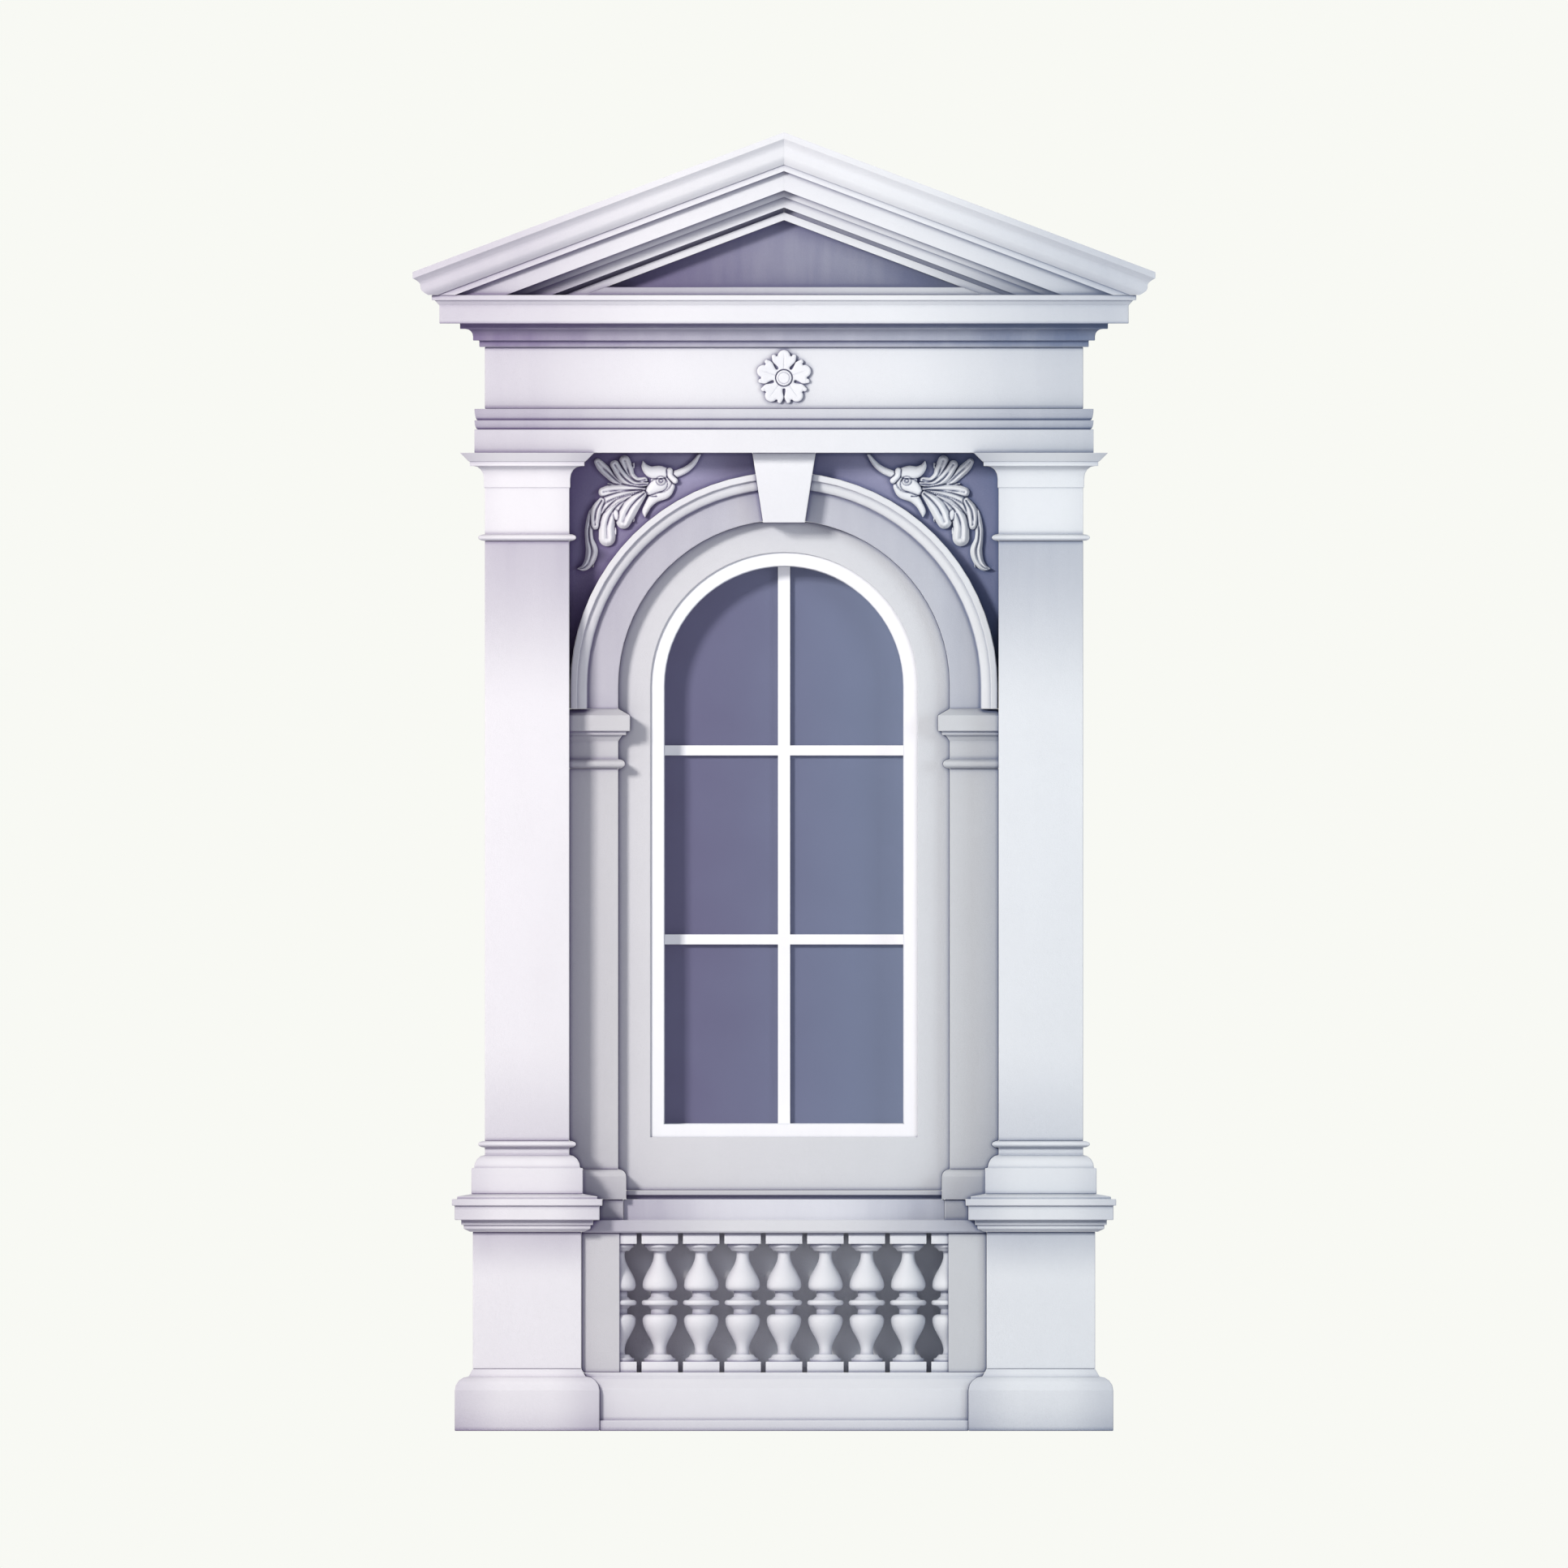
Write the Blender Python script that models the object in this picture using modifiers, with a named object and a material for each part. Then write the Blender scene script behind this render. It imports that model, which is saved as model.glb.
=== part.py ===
"""An arched window surround in stone: pilasters on pedestals carry an entablature and a pediment,
inner piers carry an arch with a keystone round a fixed light, and a blind balustrade closes the foot.

Metres, +Z up, the front towards -Y. A reach is how far a moulding stands out, sideways or forward.
Forward reaches are measured from the flat back, where the surround meets its wall."""

import math

import bmesh
import bpy
from mathutils import Matrix, Vector

# Joints and smoothness
JOINT = 0.0003
ARCH_STEP = math.radians(5)
CURVE_STEPS = 4
OVERSHOOT = 0.05

# Bay and column widths
PILASTER_X = 1.108
SHAFT_HALF = 0.182
FACE_REACH = 0.500

# Pedestal
BASE_HALF = 0.312
BASE_BLOCK = 0.174
BASE_ROUND = 0.0605
BASE_NECK_HALF = 0.252
BASE_FLARE = 0.033
DIE_HALF = 0.234
CAP_LOW_HALF = 0.2455
CAP_BED_HALF = 0.2735
CAP_BED_2_HALF = 0.284
CAP_CORONA_HALF = 0.3125
CAP_FILLET_HALF = 0.3245
CAP_TOP_HALF = 0.302
CAP_SLOPE = 0.0129
CAP_BED = 0.0165
CAP_BED_2 = 0.0213
CAP_CORONA = 0.062
CAP_FILLET = 0.028
CAP_EDGE = 0.0112
CAP_WEATHERING = 0.0108

# Pilaster
PLINTH_HALF = 0.240
PLINTH_BLOCK = 0.112
PLINTH_ROUND_HALF = 0.229
PLINTH_ROUND = 0.056
PLINTH_NECK = 0.0326
ASTRAGAL_HALF = 0.212
ASTRAGAL = 0.0286
SHAFT_HEIGHT = 2.5876
NECKING = 0.2009
NECK_BAND = 0.0392
NECK_BAND_HALF = 0.186
CAVETTO = 0.0543
CAVETTO_HALF = 0.232
CAPITAL_FILLET = 0.0189
CAPITAL_FILLET_HALF = 0.247
ABACUS = 0.0381
ABACUS_LOW_HALF = 0.251
ABACUS_HALF = 0.2895

# Entablature, as reaches beyond the frieze
FASCIA = 0.1005
FASCIA_OUT = 0.045
ROLL_1 = 0.0395
ROLL_2 = 0.0494
ROLL_DEPTH = 0.014
FRIEZE = 0.2667
BED_1 = 0.0276
BED_1_OUT = 0.024
BED_2 = 0.0175
BED_2_OUT = 0.051
BED_3 = 0.0326
BED_3_OUT = 0.084
BED_4 = 0.0234
BED_4_OUT = 0.107
CORONA = 0.0781
CORONA_OUT = 0.196
CYMATIUM_SLOPE = 0.022
CYMATIUM_SLOPE_OUT = 0.216
CYMATIUM = 0.0228
CYMATIUM_OUT = 0.229

# Pediment
RAKE = 0.3765
EAVE_FOOT_OUT = 0.244
EAVE_OUT = 0.312
EAVE_CYMA = 0.0724
EAVE_FILLET = 0.0266
RAKE_FILLET = 0.028
RAKE_CYMA = 0.1117
RAKE_LOW_FILLET = 0.028
RAKE_CORONA = 0.0829
RAKE_BED_FILLET = 0.0284
RAKE_BED = 0.0458
RAKE_RECESS = 0.021
RAKE_BEAD = 0.0329
RAKE_RECESS_OUT = 0.010
RAKE_BEAD_OUT = 0.034
TYMPANUM_SET_BACK = 0.060
TYMPANUM_FOOT = 0.0343
TYMPANUM_FOOT_OUT = 0.045

# Arch, as widths of its rings from the outside in
ARCH_SIDE_GAP = 0.0055
ARCH_CROWN_GAP = 0.0847
OUTER_RING = 0.0275
INNER_RING = 0.044
ARCH_BAND = 0.134
STILT = 0.0994
PIER_REACH = 0.330
SPANDREL_REACH = 0.300
OUTER_RING_REACH = 0.392
INNER_RING_REACH = 0.374
INNER_RING_EDGE = 0.350
KEY_TOP_HALF = 0.136
KEY_FOOT_HALF = 0.090
KEY_DROP = 0.011
KEY_REACH = 0.435

# Inner piers
PIER_PEDESTAL_OUT = 0.022
PIER_BASE_OUT = 0.034
PIER_BASE = 0.1284
PIER_BASE_ROUND = 0.031
IMPOST_ASTRAGAL = 0.0402
IMPOST_ASTRAGAL_OUT = 0.030
IMPOST_NECK = 0.0774
IMPOST_SLOPE = 0.0269
IMPOST_SLOPE_OUT = 0.018
IMPOST_FILLET = 0.0168
IMPOST_FILLET_OUT = 0.034
IMPOST_SLAB = 0.0672
IMPOST_OUT = 0.051
IMPOST_CHAMFER = 0.0287

# Wall round the window
WALL_REACH = 0.260
WALL_MARGIN = 0.139
WALL_FOOT = 0.2292
SILL_NECK = 0.0175
SILL_NECK_REACH = 0.272
SILL_NOSING = 0.021
SILL_REACH = 0.296
APRON_REACH = 0.320

# Window
FRAME_BACK = 0.050
FRAME_REACH = 0.246
FRAME_FACE = 0.0615
FRAME_FOOT = 0.0595
BAR_REACH = 0.120
BAR_STEP = 0.004
MULLION = 0.052
TRANSOM = 0.043
PANE_HEIGHT = 0.772
GLASS_FRONT = 0.090
GLASS = 0.008
REBATE = 0.008

# Balustrade
STEP_REACH = 0.620
STEP_HEIGHT = 0.0445
FOOT_REACH = 0.600
FOOT_HEIGHT = 0.1347
WASH_HEIGHT = 0.0501
KERB_OUT = 0.020
KERB_HEIGHT = 0.022
BALUSTER_HEIGHT = 0.602
BALUSTER_PITCH = 0.1785
BALUSTERS = 7
HALF_BALUSTER_TUCK = 0.005
BALUSTER_HALF = 0.0785
BALUSTER_BLOCK = 0.0465
BALUSTER_SIDES = 8
BALUSTER_CLEARANCE = 0.004
RAIL_HEIGHT = 0.0557
CAP_OVER_RAIL_FOOT = 0.0053
RAIL_LIP = 0.008
END_OUT = 0.008
RAIL_OUT = 0.028
PIER_PEDESTAL_RISE = 0.0896

# Half of a baluster's turned outline as (radius, height above the middle), from the ring upwards
RING_RADIUS = 0.0785
RING_HALF = 0.012
FLARE_RADIUS = 0.0553
FLARE_TOP = 0.0275
COLLAR_RADIUS = 0.0389
COLLAR_TOP = 0.0497
BELLY_FOOT_RADIUS = 0.0508
BELLY_RADIUS = 0.0746
BELLY_AT = 0.0742
NECK_RADIUS = 0.0266
NECK_AT = 0.2054
NECK_TOP_RADIUS = 0.0308
CHAMFER_FOOT = 0.2233
CHAMFER_FOOT_RADIUS = 0.0466
CHAMFER_TOP = 0.2387
CHAMFER_TOP_RADIUS = 0.0595
FILLET_RADIUS = 0.0679

# Rosette: a slit between petals is given as half its width at distances from the centre
ROSETTE_LOBE = 0.027
ROSETTE_LOBE_AT = 0.094
ROSETTE_SIDE_LOBE = 0.0105
ROSETTE_SIDE_AT = 0.101
ROSETTE_SIDE_TURN = math.radians(25.6)
ROSETTE_BODY = 0.099
ROSETTE_MOUTH = math.radians(31.5)
ROSETTE_SLIT = ((0.090, 0.0030), (0.081, 0.0010), (0.066, 0.0045), (0.054, 0.0065), (0.047, 0.0030))
ROSETTE_BOSS = 0.034
ROSETTE_THICK = 0.014
ROSETTE_BOSS_RISE = 0.010
ROSETTE_BOSS_TOP = 0.024
ROSETTE_BOSS_SINK = 0.002
ROSETTE_BOSS_SIDES = 20
ROSETTE_PETAL_STEPS = 20
PETALS = 5

# Spandrel ornament: places are across from the pilaster and down from the architrave, in the
# ornament's unit. A leaf has its spine, half width and lobes; a boss its place, radii, height and turn.
ORNAMENT_BACK = 0.012
ORNAMENT_VOXEL = 0.004
ORNAMENT_SHARE = 0.022
ORNAMENT_UNIT = 1.0
LEAF_STATIONS = 10
LEAF_EDGE = 0.007
LEAF_LIFT = 0.0007
LEAF_CREST = 0.026
LEAF_GROOVE = 0.016
LEAF_SWEEP = 0.45
LEAF_STEM = 0.24
LEAF_FLANK = 0.55
LEAF_LEAST = 0.05
LEAF_BULK = 1.5
LEAF_BLUNT = 0.6
LEAF_RISE_FROM = 0.1
LEAF_RISE_TO = 0.9
LOBE_CUT = 0.26
LEAVES = (
    ("upper", ((0.352, 0.121), (0.275, 0.128), (0.262, 0.060), (0.236, 0.014)), 0.033, 2),
    ("second", ((0.352, 0.132), (0.250, 0.135), (0.235, 0.070), (0.188, 0.030)), 0.034, 2),
    ("narrow", ((0.352, 0.145), (0.215, 0.150), (0.170, 0.080), (0.112, 0.024)), 0.025, 2),
    ("side", ((0.352, 0.150), (0.265, 0.160), (0.205, 0.150), (0.124, 0.170)), 0.038, 2),
    ("long", ((0.300, 0.170), (0.000, 0.245), (0.145, 0.450), (0.036, 0.500)), 0.033, 4),
    ("inner", ((0.200, 0.190), (0.135, 0.215), (0.125, 0.280), (0.112, 0.332)), 0.028, 2),
    ("low", ((0.270, 0.175), (0.185, 0.230), (0.165, 0.310), (0.163, 0.405)), 0.036, 3),
    ("near", ((0.335, 0.150), (0.270, 0.210), (0.250, 0.260), (0.234, 0.329)), 0.042, 3),
    ("jaw", ((0.415, 0.135), (0.435, 0.205), (0.325, 0.205), (0.327, 0.281)), 0.030, 1),
    ("brow", ((0.420, 0.105), (0.375, 0.060), (0.330, 0.095), (0.317, 0.036)), 0.030, 1),
)
HORN = ((0.448, 0.100), (0.490, 0.078), (0.530, 0.050), (0.561, 0.012))
HORN_RADIUS = 0.018
HORN_TIP_RADIUS = 0.006
HORN_SIDES = 8
HORN_STEPS = 6
DOME_SIDES = 14
DOME_ROWS = 8
DOMES = (
    ("head", (0.392, 0.128), (0.056, 0.042), 0.030, 0),
    ("collar", (0.444, 0.100), (0.013, 0.034), 0.036, 0.42),
    ("eye", (0.396, 0.121), (0.017, 0.015), 0.040, 0),
    ("bud", (0.202, 0.270), (0.012, 0.023), 0.024, -0.2),
)

# Levels worked out from the heights above
PEDESTAL_BASE_TOP = BASE_BLOCK + BASE_ROUND + BASE_FLARE
BALUSTRADE_FOOT = STEP_HEIGHT + FOOT_HEIGHT + WASH_HEIGHT + KERB_HEIGHT
RAIL_FOOT = BALUSTRADE_FOOT + BALUSTER_HEIGHT
DIE_TOP = RAIL_FOOT + CAP_OVER_RAIL_FOOT
CAP_TOP = (
    DIE_TOP + CAP_SLOPE + CAP_BED + CAP_BED_2 + CAP_CORONA + CAP_FILLET + CAP_EDGE + CAP_WEATHERING
)
PILASTER_BASE_TOP = CAP_TOP + PLINTH_BLOCK + PLINTH_ROUND + PLINTH_NECK + ASTRAGAL
SHAFT_TOP = PILASTER_BASE_TOP + SHAFT_HEIGHT
CAPITAL_TOP = SHAFT_TOP + ASTRAGAL + NECKING + NECK_BAND + CAVETTO + CAPITAL_FILLET + ABACUS
ARCHITRAVE_TOP = CAPITAL_TOP + FASCIA + ROLL_1 + ROLL_2
FRIEZE_TOP = ARCHITRAVE_TOP + FRIEZE
CORNICE_TOP = FRIEZE_TOP + BED_1 + BED_2 + BED_3 + BED_4 + CORONA + CYMATIUM_SLOPE + CYMATIUM
RAIL_TOP = RAIL_FOOT + RAIL_HEIGHT
APRON_TOP = RAIL_TOP + PIER_PEDESTAL_RISE
ROSETTE_Z = ARCHITRAVE_TOP + FRIEZE / 2
SILL_TOP = APRON_TOP + SILL_NECK + SILL_NOSING

# Widths and places worked out the same way
FRIEZE_HALF = PILASTER_X + SHAFT_HALF
BAY_HALF = PILASTER_X - SHAFT_HALF
COLUMN_SET = FACE_REACH - SHAFT_HALF
DEPTH = FACE_REACH + EAVE_OUT
BACK_Y = DEPTH / 2
ARCH_OUTER = BAY_HALF - ARCH_SIDE_GAP
ARCH_INNER = ARCH_OUTER - OUTER_RING - INNER_RING - ARCH_BAND
ARCH_Z = CAPITAL_TOP - ARCH_CROWN_GAP - ARCH_OUTER
IMPOST_TOP = ARCH_Z - STILT
IMPOST_FOOT = IMPOST_TOP - (
    IMPOST_ASTRAGAL + IMPOST_NECK + IMPOST_SLOPE + IMPOST_FILLET + IMPOST_SLAB + IMPOST_CHAMFER
)
KEY_FOOT_Z = ARCH_Z + ARCH_INNER - KEY_DROP
KEY_TOP_Z = CAPITAL_TOP - JOINT
FRAME_HALF = ARCH_INNER - WALL_MARGIN
FRAME_BOTTOM = SILL_TOP + WALL_FOOT
SIGHT_HALF = FRAME_HALF - FRAME_FACE
SIGHT_BOTTOM = FRAME_BOTTOM + FRAME_FOOT
END_BLOCK_INNER = (BALUSTERS + 1) / 2 * BALUSTER_PITCH - HALF_BALUSTER_TUCK
BALUSTER_REACH = PIER_REACH + PIER_PEDESTAL_OUT + BALUSTER_CLEARANCE + BALUSTER_HALF
BALUSTER_FRONT = BALUSTER_REACH + BALUSTER_HALF
END_REACH = BALUSTER_FRONT + END_OUT
RAIL_REACH = BALUSTER_FRONT + RAIL_OUT
KERB_REACH = BALUSTER_FRONT + KERB_OUT
SIDES = ((-1, "left"), (1, "right"))

# Colours
STONE = (0.80, 0.80, 0.85)
PALE_STONE = (0.88, 0.88, 0.90)
SHADED_STONE = (0.62, 0.62, 0.70)
WHITE_PAINT = (0.95, 0.95, 0.96)
GLASS_TINT = (0.16, 0.17, 0.26)


class Profile:
    """The outline of a run of mouldings, drawn upwards as (reach, z) points."""

    def __init__(self, reach, z):
        self.points = [(reach, z)]

    def step(self, reach):
        """A level ledge out or in to a new reach."""
        self.points.append((reach, self.points[-1][1]))
        return self

    def rise(self, height, reach=None):
        """A straight face, sloping where a new reach is given."""
        last, z = self.points[-1]
        self.points.append((last if reach is None else reach, z + height))
        return self

    def hook(self, height, reach, upright_first):
        """A quarter ellipse that starts upright and ends level, or the other way round."""
        start, z = self.points[-1]
        for i in range(1, CURVE_STEPS + 1):
            turn = math.pi / 2 * i / CURVE_STEPS
            along, up = (1 - math.cos(turn), math.sin(turn))
            if not upright_first:
                along, up = up, along
            self.points.append((start + (reach - start) * along, z + height * up))
        return self

    def bead(self, height, reach):
        """A half round that bulges out and comes back."""
        start, z = self.points[-1]
        count = 2 * CURVE_STEPS - 2
        for i in range(1, count + 1):
            turn = math.pi * i / count
            out = (reach - start) * math.sin(turn)
            self.points.append((start + out, z + height * (1 - math.cos(turn)) / 2))
        return self


def grown(points, gap):
    """The same outline moved outwards by a gap, its corners kept square."""
    tidy = [Vector(points[0])]
    for point in points[1:]:
        if (Vector(point) - tidy[-1]).length > gap / 10:
            tidy.append(Vector(point))
    runs = [(b - a).normalized() for a, b in zip(tidy, tidy[1:])]
    normals = [Vector((run.y, -run.x)) for run in runs]
    moved = []
    for i, point in enumerate(tidy):
        before = normals[max(i - 1, 0)]
        after = normals[min(i, len(normals) - 1)]
        moved.append(tuple(point + (before + after) * gap / (1 + before.dot(after))))
    return moved


def shortened(points):
    """The same outline with its top lowered by a joint."""
    return points[:-1] + [(points[-1][0], points[-1][1] - JOINT)]


def front(reach):
    return BACK_Y - reach


def arc(x, z, radius, start, end, steps):
    turns = [start + (end - start) * i / steps for i in range(steps + 1)]
    return [(x + radius * math.cos(turn), z + radius * math.sin(turn)) for turn in turns]


def clear_scene():
    for obj in list(bpy.data.objects):
        bpy.data.objects.remove(obj, do_unlink=True)


def new_collection(name):
    collection = bpy.data.collections.new(name)
    bpy.context.scene.collection.children.link(collection)
    return collection


def new_object(name, mesh, colour=None, roughness=0.7):
    """A named piece with its own material, or a cutter where no colour is given."""
    obj = bpy.data.objects.new(name, mesh)
    if colour is None:
        cutters.objects.link(obj)
        obj.hide_render = True
        obj.display_type = "WIRE"
        return obj
    pieces.objects.link(obj)
    material = bpy.data.materials.new(name)
    material.use_nodes = True
    shader = material.node_tree.nodes["Principled BSDF"]
    shader.inputs["Base Color"].default_value = (*colour, 1)
    shader.inputs["Roughness"].default_value = roughness
    shader.inputs["Metallic"].default_value = 0
    mesh.materials.clear()
    mesh.materials.append(material)
    return obj


def mesh_from(bm, name):
    bmesh.ops.recalc_face_normals(bm, faces=bm.faces)
    mesh = bpy.data.meshes.new(name)
    bm.to_mesh(mesh)
    bm.free()
    return mesh


def loft(name, rings):
    """A closed mesh through rings of equally many points."""
    bm = bmesh.new()
    rows = [[bm.verts.new(point) for point in ring] for ring in rings]
    for low, high in zip(rows, rows[1:]):
        for i, corner in enumerate(low):
            j = (i + 1) % len(low)
            bm.faces.new((corner, low[j], high[j], high[i]))
    bm.faces.new(rows[0][::-1])
    bm.faces.new(rows[-1])
    return mesh_from(bm, name)


def moulded(name, points, left, right, reach_set):
    """A block whose outline runs round its sides and front, with a flat back.

    left and right give the x of each side from the outline's reach."""
    bm = bmesh.new()
    rows = []
    for reach, z in points:
        y = front(reach_set + reach)
        sides = (left(reach), right(reach))
        corners = ((sides[0], BACK_Y), (sides[0], y), (sides[1], y), (sides[1], BACK_Y))
        rows.append([bm.verts.new((*corner, z)) for corner in corners])
    for low, high in zip(rows, rows[1:]):
        for i in range(3):
            bm.faces.new((low[i], low[i + 1], high[i + 1], high[i]))
    bm.faces.new(rows[0])
    bm.faces.new(rows[-1])
    bm.faces.new([row[0] for row in rows] + [row[3] for row in reversed(rows)])
    return mesh_from(bm, name)


def run(name, points, half):
    """A straight run of mouldings between two square ends, with a flat back."""
    bottom, top = points[0][1], points[-1][1]
    rings = []
    for x in (-half, half):
        ring = [(x, BACK_Y, bottom)]
        ring += [(x, front(reach), z) for reach, z in points]
        rings.append(ring + [(x, BACK_Y, top)])
    return loft(name, rings)


def flat(name, outlines, low, high):
    """A slab between two forward reaches, from closed outlines in x and z. Inner outlines are holes."""
    curve = bpy.data.curves.new(name, "CURVE")
    curve.dimensions = "2D"
    curve.fill_mode = "BOTH"
    curve.extrude = (high - low) / 2
    for outline in outlines:
        spline = curve.splines.new("POLY")
        spline.points.add(len(outline) - 1)
        spline.use_cyclic_u = True
        for point, (x, z) in zip(spline.points, outline):
            point.co = (x, z, 0, 1)
    shape = bpy.data.objects.new(name, curve)
    bpy.context.scene.collection.objects.link(shape)
    place = Matrix.Translation((0, front((low + high) / 2), 0)) @ Matrix.Rotation(math.pi / 2, 4, "X")
    bpy.context.view_layer.update()
    evaluated = shape.evaluated_get(bpy.context.evaluated_depsgraph_get())
    mesh = bpy.data.meshes.new_from_object(evaluated)
    bpy.data.objects.remove(shape, do_unlink=True)
    bpy.data.curves.remove(curve)
    bm = bmesh.new()
    bm.from_mesh(mesh)
    bmesh.ops.remove_doubles(bm, verts=bm.verts, dist=1e-6)
    bm.transform(place)
    bpy.data.meshes.remove(mesh)
    return mesh_from(bm, name)


def boolean(obj, other, operation="DIFFERENCE", solver="EXACT"):
    modifier = obj.modifiers.new(operation.title(), "BOOLEAN")
    modifier.operation = operation
    modifier.solver = solver
    modifier.object = other


def pedestal_base_profile():
    return (
        Profile(BASE_HALF, 0)
        .rise(BASE_BLOCK)
        .hook(BASE_ROUND, BASE_NECK_HALF, upright_first=True)
        .rise(BASE_FLARE, DIE_HALF)
        .points
    )


def pedestal_die_profile():
    return Profile(DIE_HALF, PEDESTAL_BASE_TOP).rise(DIE_TOP - PEDESTAL_BASE_TOP).points


def pedestal_cap_profile():
    return (
        Profile(CAP_LOW_HALF, DIE_TOP)
        .rise(CAP_SLOPE, CAP_BED_HALF)
        .rise(CAP_BED)
        .step(CAP_BED_2_HALF)
        .rise(CAP_BED_2)
        .step(CAP_CORONA_HALF)
        .rise(CAP_CORONA)
        .step(CAP_FILLET_HALF)
        .rise(CAP_FILLET)
        .step(CAP_TOP_HALF)
        .rise(CAP_EDGE)
        .rise(CAP_WEATHERING, PLINTH_HALF)
        .points
    )


def pilaster_base_profile():
    return (
        Profile(PLINTH_HALF, CAP_TOP)
        .rise(PLINTH_BLOCK)
        .step(PLINTH_ROUND_HALF)
        .hook(PLINTH_ROUND, SHAFT_HALF, upright_first=True)
        .rise(PLINTH_NECK)
        .bead(ASTRAGAL, ASTRAGAL_HALF)
        .points
    )


def pilaster_shaft_profile():
    return Profile(SHAFT_HALF, PILASTER_BASE_TOP).rise(SHAFT_HEIGHT).points


def pilaster_capital_profile():
    return (
        Profile(SHAFT_HALF, SHAFT_TOP)
        .bead(ASTRAGAL, ASTRAGAL_HALF)
        .rise(NECKING)
        .step(NECK_BAND_HALF)
        .rise(NECK_BAND)
        .hook(CAVETTO, CAVETTO_HALF, upright_first=True)
        .step(CAPITAL_FILLET_HALF)
        .rise(CAPITAL_FILLET)
        .step(ABACUS_LOW_HALF)
        .rise(ABACUS, ABACUS_HALF)
        .points
    )


COLUMN = (
    ("pedestal_base", pedestal_base_profile),
    ("pedestal_die", pedestal_die_profile),
    ("pedestal_cap", pedestal_cap_profile),
    ("pilaster_base", pilaster_base_profile),
    ("pilaster_shaft", pilaster_shaft_profile),
    ("pilaster_capital", pilaster_capital_profile),
)


def column_block(name, points, side):
    centre = side * PILASTER_X
    return moulded(name, points, lambda reach: centre - reach, lambda reach: centre + reach, COLUMN_SET)


def make_columns():
    for side, word in SIDES:
        for name, profile in COLUMN:
            piece = f"{name}_{word}"
            new_object(piece, column_block(piece, shortened(profile()), side), STONE)


def lengthened(points):
    """The same outline run past both its ends, for a cutter."""
    low = (points[0][0], points[0][1] - OVERSHOOT)
    high = (points[-1][0], points[-1][1] + OVERSHOOT)
    return [low] + points + [high]


def column_void(side):
    """The room that a column takes, for cutting the stones that run up to it."""
    points = []
    for _, profile in COLUMN:
        points += profile()
    points = lengthened(grown(points, JOINT))
    mesh = column_block("column_void", points, side)
    for vertex in mesh.vertices:
        vertex.co.y += OVERSHOOT if vertex.co.y > front(0) - JOINT else 0
    return new_object(f"column_void_{side}", mesh)


def entablature(name, points):
    """A full run across both pilasters, returned on its ends. Reaches are beyond the frieze."""
    mesh = moulded(
        name,
        shortened(points),
        lambda reach: -FRIEZE_HALF - reach,
        lambda reach: FRIEZE_HALF + reach,
        FACE_REACH,
    )
    return new_object(name, mesh, STONE)


def make_entablature():
    architrave = Profile(FASCIA_OUT, CAPITAL_TOP).rise(FASCIA)
    architrave.step(FASCIA_OUT - ROLL_DEPTH).hook(ROLL_1, FASCIA_OUT, upright_first=False)
    architrave.step(FASCIA_OUT - ROLL_DEPTH).hook(ROLL_2, FASCIA_OUT, upright_first=False)
    entablature("architrave", architrave.points)
    entablature("frieze", Profile(0, ARCHITRAVE_TOP).rise(FRIEZE).points)
    cornice = Profile(BED_1_OUT, FRIEZE_TOP).rise(BED_1).step(BED_2_OUT).rise(BED_2)
    cornice.hook(BED_3, BED_3_OUT, upright_first=True).step(BED_4_OUT).rise(BED_4)
    cornice.step(CORONA_OUT).rise(CORONA).rise(CYMATIUM_SLOPE, CYMATIUM_SLOPE_OUT)
    cornice.step(CYMATIUM_OUT).rise(CYMATIUM)
    entablature("cornice", cornice.points)


def cyma(low_reach, high_reach, low, high):
    """An S between two levels: convex below and hollow above, as points going up."""
    count = 2 * CURVE_STEPS
    points = []
    for i in range(count + 1):
        t = i / count
        reach = low_reach + (high_reach - low_reach) * (t + math.sin(2 * math.pi * t) / (2 * math.pi))
        points.append((reach, low + (high - low) * t))
    return points


def rake_section():
    """Forward reach and drop below the roof line, from the back round the front and under."""
    drop = -RAKE_FILLET
    section = [(0, 0), (FACE_REACH + EAVE_OUT, 0)]
    curve = cyma(EAVE_FOOT_OUT, EAVE_OUT, drop - RAKE_CYMA, drop)
    section += [(FACE_REACH + reach, level) for reach, level in reversed(curve)]
    drop -= RAKE_CYMA
    faces = (
        ((EAVE_FOOT_OUT + CYMATIUM_OUT) / 2, RAKE_LOW_FILLET),
        (CORONA_OUT, RAKE_CORONA),
        (BED_4_OUT, RAKE_BED_FILLET),
        (BED_3_OUT, RAKE_BED),
        (RAKE_RECESS_OUT, RAKE_RECESS),
        (RAKE_BEAD_OUT, RAKE_BEAD),
    )
    for reach, height in faces:
        section.append((FACE_REACH + reach, drop))
        drop -= height
        section.append((FACE_REACH + reach, drop))
    section.append((0, drop))
    return section, drop


def roof(x):
    """Height of the roof line at a distance from the centre line."""
    eave = CORNICE_TOP + EAVE_CYMA + EAVE_FILLET
    return eave + (FRIEZE_HALF + EAVE_OUT - x) * RAKE


def eave_outline(side):
    """What is kept of a raking cornice, seen from the front: its flat foot and its moulded end."""
    foot = CORNICE_TOP
    points = cyma(FRIEZE_HALF + EAVE_FOOT_OUT, FRIEZE_HALF + EAVE_OUT, foot, foot + EAVE_CYMA)
    high = roof(0) + OVERSHOOT
    points += [(FRIEZE_HALF + EAVE_OUT, high), (JOINT / 2, high), (JOINT / 2, foot)]
    return [(side * x, z) for x, z in points]


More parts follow.
